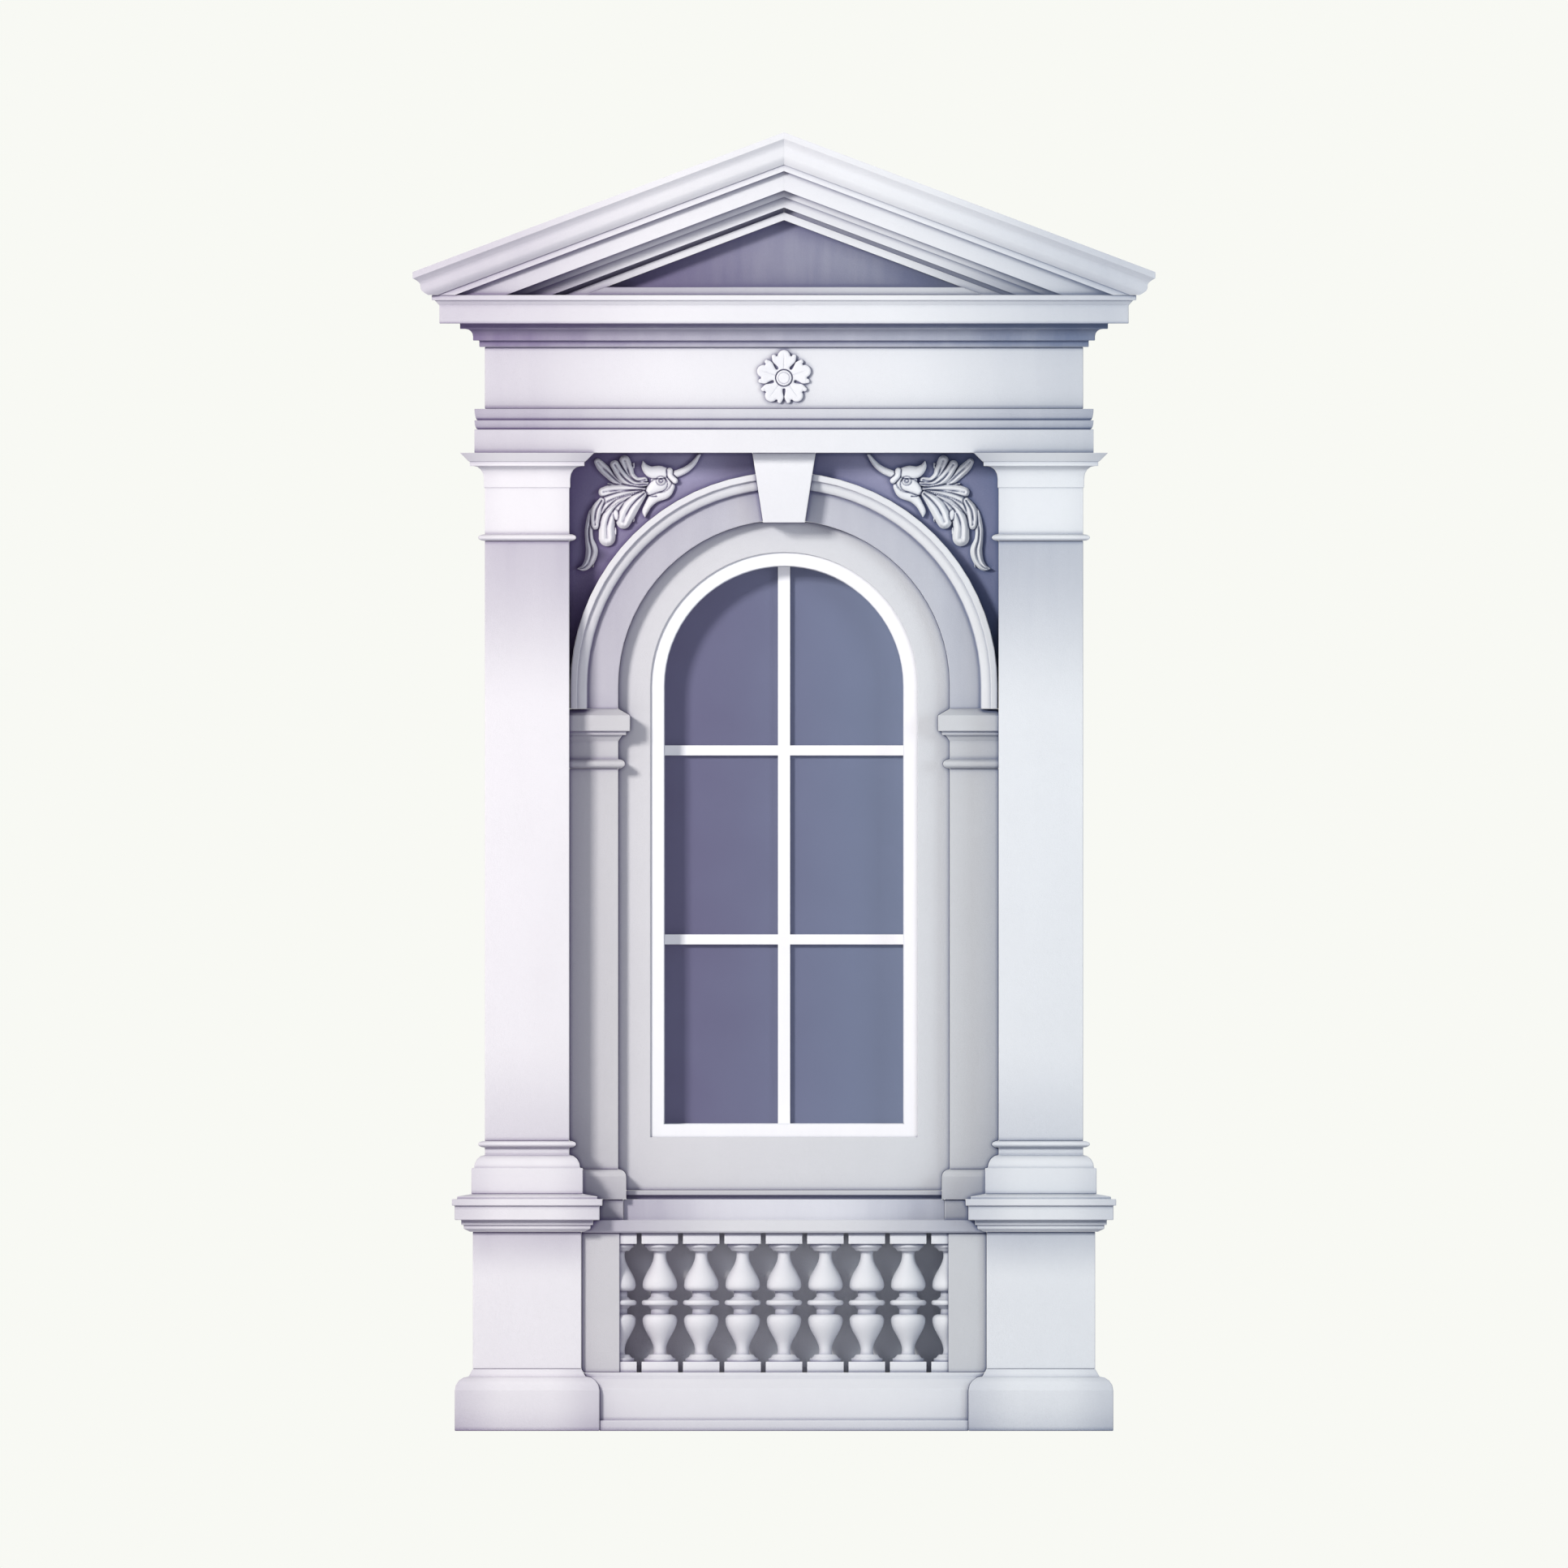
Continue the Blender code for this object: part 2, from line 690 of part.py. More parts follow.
def make_pediment():
    section, drop = rake_section()
    for side, word in SIDES:
        name = f"raking_cornice_{word}"
        rings = []
        for x in (-OVERSHOOT, FRIEZE_HALF + EAVE_OUT + OVERSHOOT):
            rings.append([(side * x, front(reach), roof(x) + level) for reach, level in section])
        piece = new_object(name, loft(name, rings), STONE)
        kept = flat(f"kept_{word}", [eave_outline(side)], -OVERSHOOT, DEPTH + OVERSHOOT)
        boolean(piece, new_object(f"kept_{word}", kept), "INTERSECT")
    top = drop - JOINT * math.hypot(1, RAKE)
    foot = CORNICE_TOP
    half = (roof(0) + top - foot) / RAKE
    strip_half = half - TYMPANUM_FOOT / RAKE
    panel_reach = FACE_REACH - TYMPANUM_SET_BACK
    panel = flat("tympanum", [[(-half, foot), (half, foot), (0, roof(0) + top)]], 0, panel_reach)
    strip_top = foot + TYMPANUM_FOOT
    outline = [(-half, foot), (half, foot), (strip_half, strip_top), (-strip_half, strip_top)]
    strip = flat("tympanum_foot", [outline], OVERSHOOT, FACE_REACH + TYMPANUM_FOOT_OUT)
    piece = new_object("tympanum", panel, SHADED_STONE)
    boolean(piece, new_object("tympanum_foot", strip), "UNION")


def key_edge(z):
    """x of the keystone's right side at a height."""
    share = (z - KEY_FOOT_Z) / (KEY_TOP_Z - KEY_FOOT_Z)
    return KEY_FOOT_HALF + (KEY_TOP_HALF - KEY_FOOT_HALF) * share


def key_turn(radius):
    """The angle at which a ring of the arch meets the keystone's side, less a joint."""
    slope = (KEY_TOP_HALF - KEY_FOOT_HALF) / (KEY_TOP_Z - KEY_FOOT_Z)
    length = math.hypot(1, slope)
    return math.acos((key_edge(ARCH_Z) / length + JOINT) / radius) - math.atan(slope)


def arch_turns(radius):
    """The angles of a ring's corners, from the springing up to the keystone."""
    shared = min(key_turn(ARCH_OUTER), key_turn(ARCH_INNER))
    count = int(shared / ARCH_STEP - 1 / 4)
    return [i * ARCH_STEP for i in range(count + 1)] + [key_turn(radius)]


def arch_section():
    """Radius and forward reach round the section of an arch stone."""
    ring = ARCH_OUTER - OUTER_RING
    roll = Profile(INNER_RING_EDGE, ring - INNER_RING).hook(
        INNER_RING, INNER_RING_REACH, upright_first=False
    )
    section = [(ARCH_INNER, 0), (ARCH_INNER, PIER_REACH), (ring - INNER_RING, PIER_REACH)]
    section += [(radius, reach) for reach, radius in roll.points]
    section += [(ring, OUTER_RING_REACH), (ARCH_OUTER, OUTER_RING_REACH), (ARCH_OUTER, 0)]
    return section


def make_arch():
    section = arch_section()
    for side, word in SIDES:
        name = f"arch_{word}"
        rings = [[(side * radius, front(reach), IMPOST_TOP + JOINT) for radius, reach in section]]
        for turns in zip(*(arch_turns(radius) for radius, _ in section)):
            ring = []
            for turn, (radius, reach) in zip(turns, section):
                x = side * radius * math.cos(turn)
                ring.append((x, front(reach), ARCH_Z + radius * math.sin(turn)))
            rings.append(ring)
        new_object(name, loft(name, rings), STONE)


def key_outline(gap):
    foot = KEY_FOOT_Z - gap
    top = KEY_TOP_Z + gap
    return [
        (-key_edge(foot) - gap, foot),
        (key_edge(foot) + gap, foot),
        (key_edge(top) + gap, top),
        (-key_edge(top) - gap, top),
    ]


def make_keystone():
    new_object("keystone", flat("keystone", [key_outline(0)], 0, KEY_REACH), PALE_STONE)


def make_spandrels(voids):
    radius = ARCH_OUTER + JOINT
    top = CAPITAL_TOP - JOINT
    for side, word in SIDES:
        name = f"spandrel_{word}"
        outline = [(PILASTER_X, IMPOST_TOP + JOINT), (PILASTER_X, top), (key_edge(top) + JOINT, top)]
        curve = [
            (radius * math.cos(turn), ARCH_Z + radius * math.sin(turn)) for turn in arch_turns(radius)
        ]
        outline += reversed(curve)
        outline.append((radius, IMPOST_TOP + JOINT))
        outline = [(side * x, z) for x, z in outline]
        piece = new_object(name, flat(name, [outline], 0, SPANDREL_REACH), SHADED_STONE)
        boolean(piece, voids[side])


def impost_profile():
    return (
        Profile(0, IMPOST_FOOT)
        .bead(IMPOST_ASTRAGAL, IMPOST_ASTRAGAL_OUT)
        .rise(IMPOST_NECK)
        .rise(IMPOST_SLOPE, IMPOST_SLOPE_OUT)
        .step(IMPOST_FILLET_OUT)
        .rise(IMPOST_FILLET)
        .step(IMPOST_OUT)
        .rise(IMPOST_SLAB)
        .rise(IMPOST_CHAMFER, 0)
        .points
    )


def pier_profiles():
    """The stones of an inner pier, from the foot, as reaches beyond its shaft."""
    pedestal = Profile(PIER_PEDESTAL_OUT, BALUSTRADE_FOOT + JOINT)
    pedestal.rise(APRON_TOP - BALUSTRADE_FOOT - JOINT)
    base = Profile(PIER_BASE_OUT, APRON_TOP).rise(PIER_BASE - PIER_BASE_ROUND)
    base.hook(PIER_BASE_ROUND, PIER_BASE_OUT - PIER_BASE_ROUND, upright_first=True)
    shaft_foot = APRON_TOP + PIER_BASE
    shaft = Profile(0, shaft_foot).rise(IMPOST_FOOT - shaft_foot)
    return (
        ("pier_pedestal", pedestal.points),
        ("pier_base", base.points),
        ("pier_shaft", shaft.points),
        ("impost", impost_profile()),
    )


def pier_block(name, points, side):
    def inner(reach):
        return side * (ARCH_INNER - reach)

    def outer(reach):
        return side * (PILASTER_X + reach)

    return moulded(name, points, inner, outer, PIER_REACH)


def make_piers(voids):
    for side, word in SIDES:
        for name, points in pier_profiles():
            piece = f"{name}_{word}"
            obj = new_object(piece, pier_block(piece, shortened(points), side), STONE)
            boolean(obj, voids[side])


def pier_void(side):
    points = []
    for _, outline in pier_profiles():
        points += outline
    mesh = pier_block("pier_void", lengthened(grown(points, JOINT)), side)
    for vertex in mesh.vertices:
        vertex.co.y += OVERSHOOT if vertex.co.y > front(0) - JOINT else 0
    return new_object(f"pier_void_{side}", mesh)


def arched(half, bottom, grow=0):
    """The window's outline: two upright sides under a half circle."""
    half += grow
    steps = round(math.pi / ARCH_STEP)
    return [(-half, bottom - grow), (half, bottom - grow)] + arc(0, ARCH_Z, half, 0, math.pi, steps)


def make_wall(pier_voids):
    hole = arched(FRAME_HALF, FRAME_BOTTOM, JOINT)
    body = arched(ARCH_INNER, SILL_TOP, -JOINT)
    wall = new_object("window_wall", flat("window_wall", [body, hole], 0, WALL_REACH), STONE)
    for void in pier_voids.values():
        boolean(wall, void)
    key_void = flat("key_void", [key_outline(JOINT)], -OVERSHOOT, KEY_REACH + OVERSHOOT)
    boolean(wall, new_object("key_void", key_void))
    half = ARCH_INNER - PIER_BASE_OUT - JOINT
    sill = Profile(SILL_NECK_REACH, APRON_TOP).rise(SILL_NECK).step(SILL_REACH).rise(SILL_NOSING)
    new_object("sill", run("sill", shortened(sill.points), half), STONE)
    apron_half = ARCH_INNER - PIER_PEDESTAL_OUT - JOINT
    apron = Profile(APRON_REACH, BALUSTRADE_FOOT + JOINT).rise(APRON_TOP - BALUSTRADE_FOOT - JOINT)
    new_object("apron", run("apron", shortened(apron.points), apron_half), STONE)


def pane_bottom(row):
    return SIGHT_BOTTOM + row * (PANE_HEIGHT + TRANSOM)


def pane_outline(side, row, grow):
    """One opening between the glazing bars, made larger or smaller all round."""
    inner = MULLION / 2 - grow
    outer = SIGHT_HALF + grow
    bottom = pane_bottom(row) - grow
    outline = [(inner, bottom), (outer, bottom)]
    if row < 2:
        top = pane_bottom(row) + PANE_HEIGHT + grow
        outline += [(outer, top), (inner, top)]
    else:
        last = math.acos(inner / outer)
        count = int(last / ARCH_STEP - 1 / 4)
        turns = [i * ARCH_STEP for i in range(count + 1)] + [last]
        outline += [(outer * math.cos(turn), ARCH_Z + outer * math.sin(turn)) for turn in turns]
    return [(side * x, z) for x, z in outline]


def make_window():
    name = "window_frame"
    body = flat(name, [arched(FRAME_HALF, FRAME_BOTTOM)], FRAME_BACK, FRAME_REACH)
    frame = new_object(name, body, WHITE_PAINT, roughness=0.4)
    number = 0
    for row in range(3):
        for side, _ in SIDES:
            number += 1
            opening = flat(
                "opening", [pane_outline(side, row, 0)], -OVERSHOOT, FRAME_REACH + OVERSHOOT
            )
            boolean(frame, new_object(f"opening_{number}", opening), solver="MANIFOLD")
            rebate = flat("rebate", [pane_outline(side, row, REBATE)], -OVERSHOOT, GLASS_FRONT)
            boolean(frame, new_object(f"rebate_{number}", rebate), solver="MANIFOLD")
            outline = [pane_outline(side, row, REBATE - JOINT)]
            glass = flat("glass_pane", outline, GLASS_FRONT - JOINT - GLASS, GLASS_FRONT - JOINT)
            new_object(f"glass_pane_{number}", glass, GLASS_TINT, roughness=0.08)
    outline = [arched(SIGHT_HALF, SIGHT_BOTTOM, BAR_STEP)]
    sight = flat("sight_opening", outline, BAR_REACH, FRAME_REACH + OVERSHOOT)
    boolean(frame, new_object("sight_opening", sight), solver="MANIFOLD")


def make_balustrade(column_voids, pier_voids):
    foot = Profile(STEP_REACH, 0).rise(STEP_HEIGHT).step(FOOT_REACH).rise(FOOT_HEIGHT)
    foot.rise(WASH_HEIGHT, KERB_REACH).rise(KERB_HEIGHT)
    rail = Profile(RAIL_REACH - RAIL_LIP, RAIL_FOOT).rise(RAIL_LIP, RAIL_REACH)
    rail.rise(RAIL_HEIGHT - RAIL_LIP)
    made = {}
    for name, outline in (("balustrade_plinth", foot), ("balustrade_rail", rail)):
        made[name] = new_object(name, run(name, shortened(outline.points), PILASTER_X), STONE)
        for void in column_voids.values():
            boolean(made[name], void)
    apron_void = flat("apron_void", [box_outline()], -OVERSHOOT, APRON_REACH + JOINT)
    boolean(made["balustrade_rail"], new_object("apron_void", apron_void))
    for void in pier_voids.values():
        boolean(made["balustrade_rail"], void)
    for side, word in SIDES:
        name = f"balustrade_end_{word}"
        xs = (side * END_BLOCK_INNER, side * PILASTER_X)
        low = BALUSTRADE_FOOT + JOINT
        high = RAIL_FOOT - JOINT
        outline = [(xs[0], low), (xs[1], low), (xs[1], high), (xs[0], high)]
        back = PIER_REACH + PIER_PEDESTAL_OUT + JOINT
        block = new_object(name, flat(name, [outline], back, END_REACH), STONE)
        boolean(block, column_voids[side])


def box_outline():
    """The space over the apron, wider than the bay."""
    return [
        (-PILASTER_X, RAIL_FOOT - OVERSHOOT),
        (PILASTER_X, RAIL_FOOT - OVERSHOOT),
        (PILASTER_X, RAIL_TOP + OVERSHOOT),
        (-PILASTER_X, RAIL_TOP + OVERSHOOT),
    ]


def baluster_half():
    """Radius and height above the middle, going up to the square block."""
    points = [(RING_RADIUS, 0)]
    for i in range(1, 3):
        turn = math.pi / 2 * i / 2
        inset = RING_HALF * (1 - math.cos(turn))
        points.append((RING_RADIUS - inset, RING_HALF * math.sin(turn)))
    points += [(FLARE_RADIUS, RING_HALF), (COLLAR_RADIUS, FLARE_TOP), (COLLAR_RADIUS, COLLAR_TOP)]
    for i in range(3):
        turn = math.pi / 2 * i / 2
        radius = BELLY_FOOT_RADIUS + (BELLY_RADIUS - BELLY_FOOT_RADIUS) * math.sin(turn)
        points.append((radius, COLLAR_TOP + (BELLY_AT - COLLAR_TOP) * (1 - math.cos(turn))))
    for i in range(1, 5):
        t = i / 4
        waist = (1 + math.cos(math.pi * t)) / 2
        radius = NECK_RADIUS + (BELLY_RADIUS - NECK_RADIUS) * waist
        points.append((radius, BELLY_AT + (NECK_AT - BELLY_AT) * t))
    points += [
        (NECK_TOP_RADIUS, CHAMFER_FOOT),
        (CHAMFER_FOOT_RADIUS, CHAMFER_FOOT),
        (CHAMFER_TOP_RADIUS, CHAMFER_TOP),
        (FILLET_RADIUS, CHAMFER_TOP),
    ]
    return points


def baluster_block(name, x, low, high):
    """A square block at one end of a baluster."""
    outline = [(x - BALUSTER_HALF, low), (x + BALUSTER_HALF, low)]
    outline += [(x + BALUSTER_HALF, high), (x - BALUSTER_HALF, high)]
    mesh = flat(name, [outline], BALUSTER_REACH - BALUSTER_HALF, BALUSTER_REACH + BALUSTER_HALF)
    return new_object(name, mesh)


def turned(name, profile, x, middle):
    """A mesh turned about an upright axis through the balusters' row."""
    mesh = bpy.data.meshes.new(name)
    edges = [(i, i + 1) for i in range(len(profile) - 1)]
    mesh.from_pydata([(radius, 0, z) for radius, z in profile], edges, [])
    obj = new_object(name, mesh, STONE)
    obj.location = (x, front(BALUSTER_REACH), middle)
    screw = obj.modifiers.new("Turn", "SCREW")
    screw.angle = 2 * math.pi
    screw.steps = BALUSTER_SIDES
    screw.render_steps = BALUSTER_SIDES
    screw.use_merge_vertices = True
    screw.merge_threshold = 0.0001
    screw.use_smooth_shade = True
    return obj


def make_balusters():
    middle = BALUSTRADE_FOOT + BALUSTER_HEIGHT / 2
    end = BALUSTER_HEIGHT / 2 - BALUSTER_BLOCK
    rising = baluster_half() + [(FILLET_RADIUS, end + JOINT), (0, end + JOINT)]
    sinking = [(radius, -z) for radius, z in rising[1:]]
    profile = rising[::-1] + sinking
    edge = (BALUSTERS + 1) // 2
    for i in range(-edge, edge + 1):
        x = i * BALUSTER_PITCH
        name = f"baluster_{i + edge}"
        if abs(i) == edge:
            name = f"half_baluster_{'left' if i < 0 else 'right'}"
        piece = turned(name, profile, x, middle)
        low = BALUSTRADE_FOOT + JOINT
        high = RAIL_FOOT - JOINT
        foot = baluster_block(f"{name}_foot", x, low, low + BALUSTER_BLOCK)
        head = baluster_block(f"{name}_head", x, high - BALUSTER_BLOCK, high)
        boolean(piece, foot, "UNION")
        boolean(piece, head, "UNION")
        if abs(i) == edge:
            side = 1 if i > 0 else -1
            limit = side * (END_BLOCK_INNER - JOINT)
            beyond = side * PILASTER_X
            outline = [(limit, 0), (beyond, 0), (beyond, RAIL_TOP), (limit, RAIL_TOP)]
            void = flat(f"{name}_void", [outline], 0, BALUSTER_FRONT + OVERSHOOT)
            boolean(piece, new_object(f"{name}_void", void))


def rosette_outline():
    """Five petals of three lobes each, parted by slits with round feet."""
    points = []
    reach = math.pi / PETALS
    for petal in range(PETALS):
        middle = math.pi / 2 + 2 * reach * petal
        for i in range(ROSETTE_PETAL_STEPS + 1):
            turn = ROSETTE_MOUTH * (2 * i / ROSETTE_PETAL_STEPS - 1)
            radius = max(
                ROSETTE_BODY,
                lobe(turn, 0, ROSETTE_LOBE_AT, ROSETTE_LOBE),
                lobe(turn, ROSETTE_SIDE_TURN, ROSETTE_SIDE_AT, ROSETTE_SIDE_LOBE),
                lobe(turn, -ROSETTE_SIDE_TURN, ROSETTE_SIDE_AT, ROSETTE_SIDE_LOBE),
            )
            points.append((middle + turn, radius, 0))
        slit = middle + reach
        points += [(slit, along, -half) for along, half in ROSETTE_SLIT]
        points += [(slit, along, half) for along, half in reversed(ROSETTE_SLIT)]
    outline = []
    for turn, radius, across in points:
        x = radius * math.cos(turn) - across * math.sin(turn)
        z = radius * math.sin(turn) + across * math.cos(turn)
        outline.append((x, ROSETTE_Z + z))
    return outline


def lobe(turn, at, distance, radius):
    """How far a ray from the centre runs to the far side of a round lobe, or nothing if it misses."""
    across = distance * math.sin(turn - at)
    if abs(across) >= radius:
        return 0
    return distance * math.cos(turn - at) + math.sqrt(radius**2 - across**2)


def make_rosette():
    low = FACE_REACH + JOINT
    high = low + ROSETTE_THICK
    piece = new_object(
        "frieze_rosette", flat("frieze_rosette", [rosette_outline()], low, high), PALE_STONE
    )
    bm = bmesh.new()
    depth = ROSETTE_THICK + ROSETTE_BOSS_RISE - ROSETTE_BOSS_SINK
    place = Matrix.Translation((0, front(low + ROSETTE_BOSS_SINK + depth / 2), ROSETTE_Z))
    place = place @ Matrix.Rotation(math.pi / 2, 4, "X")
    bmesh.ops.create_cone(
        bm,
        cap_ends=True,
        segments=ROSETTE_BOSS_SIDES,
        radius1=ROSETTE_BOSS,
        radius2=ROSETTE_BOSS_TOP,
        depth=depth,
        matrix=place,
    )
    boolean(piece, new_object("rosette_boss", mesh_from(bm, "rosette_boss")), "UNION")


def bezier(spine, t):
    """A point and its direction on a curve through four control points."""
    a, b, c, d = (Vector(point) * ORNAMENT_UNIT for point in spine)
    point = a * (1 - t) ** 3 + b * (3 * t * (1 - t) ** 2) + c * (3 * t**2 * (1 - t)) + d * t**3
    ahead = (b - a) * (1 - t) ** 2 + (c - b) * (2 * t * (1 - t)) + (d - c) * t**2
    return point, ahead.normalized()


def ornament_point(side, place, height):
    """From across and down in the corner of the bay to a point in space."""
    across, down = place
    return (side * (BAY_HALF - across), front(SPANDREL_REACH + height), CAPITAL_TOP - down)


def leaf_half(t, half, lobes):
    """Half width of a leaf along its length: a slim stem, round lobes and a blunt tip."""
    swell = max(math.sin(math.pi * t**LEAF_BULK), 0) ** LEAF_BLUNT
    lobe_wave = 1 - LOBE_CUT * (1 + math.cos(2 * math.pi * lobes * t)) / 2
    return half * ORNAMENT_UNIT * max(max(swell, LEAF_STEM * (1 - t)) * lobe_wave, LEAF_LEAST)


def leaf(name, side, spine, half, lobes, order):
    """A lobed leaf along its spine. Each later leaf lies a little higher than the one before."""
    rings = []
    edge = LEAF_EDGE + order * LEAF_LIFT
    back = ORNAMENT_BACK + order * LEAF_LIFT
    stations = LEAF_STATIONS + 2 * (lobes - 2)
    for i in range(stations + 1):
        t = i / stations
        middle, ahead = bezier(spine, t)
        across = Vector((-ahead.y, ahead.x))
        reach = leaf_half(t, half, lobes)
        rise = math.sin(math.pi * (LEAF_RISE_FROM + (LEAF_RISE_TO - LEAF_RISE_FROM) * t))
        section = (
            (1, -back),
            (1, edge),
            (LEAF_FLANK, edge + LEAF_CREST * rise),
            (0, edge + LEAF_GROOVE * rise),
            (-LEAF_FLANK, edge + LEAF_CREST * rise),
            (-1, edge),
            (-1, -back),
        )
        ring = []
        for share, height in section:
            place = middle + across * (share * reach) + ahead * (LEAF_SWEEP * abs(share) * reach)
            ring.append(ornament_point(side, place, height))
        rings.append(ring)
    return new_object(f"{name}_{side}", loft(name, rings))


def horn(side, back):
    rings = []
    for i in range(HORN_STEPS + 1):
        t = i / HORN_STEPS
        middle, ahead = bezier(HORN, t)
        across = Vector((-ahead.y, ahead.x))
        radius = HORN_RADIUS + (HORN_TIP_RADIUS - HORN_RADIUS) * t
        ring = []
        for k in range(HORN_SIDES):
            turn = 2 * math.pi * (k + 0.5) / HORN_SIDES
            place = middle + across * (radius * math.cos(turn))
            height = radius * math.sin(turn)
            ring.append(ornament_point(side, place, height if height > 0 else -back))
        rings.append(ring)
    return new_object(f"horn_{side}", loft("horn", rings))


def dome(name, side, place, radii, height, turn):
    """A rounded boss, as half of a flattened ball."""
    bm = bmesh.new()
    bmesh.ops.create_uvsphere(bm, u_segments=DOME_SIDES, v_segments=DOME_ROWS, radius=1)
    scale = Matrix.Diagonal((radii[0] * ORNAMENT_UNIT, height, radii[1] * ORNAMENT_UNIT, 1))
    spot = Matrix.Translation(ornament_point(side, Vector(place) * ORNAMENT_UNIT, 0))
    bm.transform(spot @ Matrix.Rotation(side * turn, 4, "Y") @ scale)
    return new_object(f"{name}_{side}", mesh_from(bm, name))


def make_ornaments():
    """Leaves springing from a horned and collared head, one mirrored pair."""
    wide = 2 * ORNAMENT_BACK
    for side, word in SIDES:
        name = f"spandrel_ornament_{word}"
        parts = []
        for i, (leaf_name, spine, half, lobes) in enumerate(LEAVES):
            parts.append(leaf(leaf_name, side, spine, half, lobes, i))
        parts.append(horn(side, ORNAMENT_BACK - JOINT))
        parts += [dome(boss, side, *shape) for boss, *shape in DOMES]
        bm = bmesh.new()
        for part in parts:
            bm.from_mesh(part.data)
        piece = new_object(name, mesh_from(bm, name), PALE_STONE)
        skin = piece.modifiers.new("Skin", "REMESH")
        skin.mode = "VOXEL"
        skin.voxel_size = ORNAMENT_VOXEL
        fewer = piece.modifiers.new("Fewer", "DECIMATE")
        fewer.ratio = ORNAMENT_SHARE
        outline = [(0, IMPOST_TOP), (side * PILASTER_X, IMPOST_TOP)]
        outline += [(side * PILASTER_X, ARCHITRAVE_TOP), (0, ARCHITRAVE_TOP)]
        low = SPANDREL_REACH + JOINT
        behind = flat("ornament_back", [outline], low - 2 * wide, low)
        boolean(piece, new_object(f"ornament_back_{word}", behind))


clear_scene()
pieces = new_collection("arched_window_surround")
cutters = new_collection("cutters")
column_voids = {side: column_void(side) for side, _ in SIDES}
pier_voids = {side: pier_void(side) for side, _ in SIDES}
make_columns()
make_entablature()
make_pediment()
make_arch()
make_keystone()
make_spandrels(column_voids)
make_piers(column_voids)
make_wall(pier_voids)
make_window()
make_balustrade(column_voids, pier_voids)
make_balusters()
make_rosette()
make_ornaments()
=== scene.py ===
import math

import bmesh
import bpy
import numpy as np
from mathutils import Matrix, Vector


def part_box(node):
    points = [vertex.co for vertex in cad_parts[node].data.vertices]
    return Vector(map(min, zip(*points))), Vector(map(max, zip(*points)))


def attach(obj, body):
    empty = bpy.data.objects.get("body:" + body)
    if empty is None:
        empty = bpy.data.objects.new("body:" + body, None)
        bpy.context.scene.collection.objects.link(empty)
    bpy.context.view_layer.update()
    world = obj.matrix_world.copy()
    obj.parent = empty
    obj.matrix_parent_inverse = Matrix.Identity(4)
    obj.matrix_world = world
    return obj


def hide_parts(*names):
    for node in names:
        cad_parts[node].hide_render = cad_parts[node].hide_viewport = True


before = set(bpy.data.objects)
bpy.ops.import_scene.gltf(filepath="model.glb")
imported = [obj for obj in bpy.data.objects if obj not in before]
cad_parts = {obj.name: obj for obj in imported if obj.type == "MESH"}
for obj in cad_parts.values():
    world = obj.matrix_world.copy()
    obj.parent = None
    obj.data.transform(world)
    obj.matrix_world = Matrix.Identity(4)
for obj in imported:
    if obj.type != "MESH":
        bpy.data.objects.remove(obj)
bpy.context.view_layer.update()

# The window surround is dressed here: its stones get eased arrises, the turned and carved pieces are
# made finer, and every surface gets its finish. Metres, +Z up, the front towards -Y.

# Masonry
ARRIS = 0.003
TIMBER_ARRIS = 0.0015
FLAT_ENOUGH = math.radians(0.5)
ARRIS_ANGLE = math.radians(32)
CREASE = math.radians(38)
CARVED_CREASE = math.radians(50)
SAME_POINT = 0.00002

# Mouldings round the arch, outside its flat band
ARCH_ROLLS = 0.0715

# Pale strip at the foot of the tympanum
FOOT_STRIP = 0.0343

# Turned work
TURNING_SIDES = 40
RING_STEPS = 6
BELLY_STEPS = 8
NECK_STEPS = 24
WAIST_STEPS = 5
BLOCK_HALF = 0.0785
BLOCK_HEIGHT = 0.0465
RING_RADIUS = 0.0785
RING_HALF = 0.012
FLARE_RADIUS = 0.0553
FLARE_TOP = 0.0275
COLLAR_RADIUS = 0.0389
COLLAR_TOP = 0.0497
BELLY_FOOT_RADIUS = 0.0508
BELLY_RADIUS = 0.0746
BELLY_AT = 0.0742
WAIST_RADIUS = 0.0266
WAIST_AT = 0.2054
WAIST_TOP_RADIUS = 0.0308
CHAMFER_FOOT = 0.2233
CHAMFER_FOOT_RADIUS = 0.0466
CHAMFER_TOP = 0.2387
CHAMFER_TOP_RADIUS = 0.0595
FILLET_RADIUS = 0.0679
LEDGE = 0.0002

# Carving: a quirk is the narrow groove cut round a shape that lies over another
ORNAMENT_GRID = ((0.02, -0.004), (0.585, 0.525))
ROSETTE_GRID = ((-0.13, -0.13), (0.13, 0.13))
CARVING_PITCH = 0.002
ROSETTE_PITCH = 0.0014
QUIRK = 0.005
QUIRK_DEPTH = 0.009
EDGE_HEIGHT = 0.008
NEVER_BELOW = 1e-9
VEIN = 0.0035
VEIN_DEPTH = 0.006
VEIN_END = 0.8
RIBS = 2
RIB_HEIGHT = 0.0014
TIP_START = 0.6
TIP_CROWN = 0.25
NEAREST_CROSSING = 0.06

# Colours: the stone's own pale colour, which turns from lavender at the front's left to blue at its right
# as a painted tint of the light; then the painted shade and the glass
LAVENDER_STONE = (0.780, 0.758, 0.782)
BLUE_STONE = (0.742, 0.776, 0.790)
# Colours of the painted shade in corners, creases and under ledges: mauve at the left, slate at the right
MAUVE_PAINTED_SHADE = (0.120, 0.075, 0.200)
SLATE_PAINTED_SHADE = (0.065, 0.105, 0.210)
# Purple tint of the spandrels' painted shade
PURPLE_SHADE_CAST = (0.88, 0.85, 1.12)
NO_CAST = (1, 1, 1)
# Glass: mauve at the left and blue at the right, a painted tint of the light
MAUVE_GLASS = (0.150, 0.136, 0.235)
BLUE_GLASS = (0.185, 0.225, 0.325)
GLASS_RIPPLE = (0.24, 0.27, 0.40)
HALF_FRONT = 1.5
HALF_WINDOW = 0.6

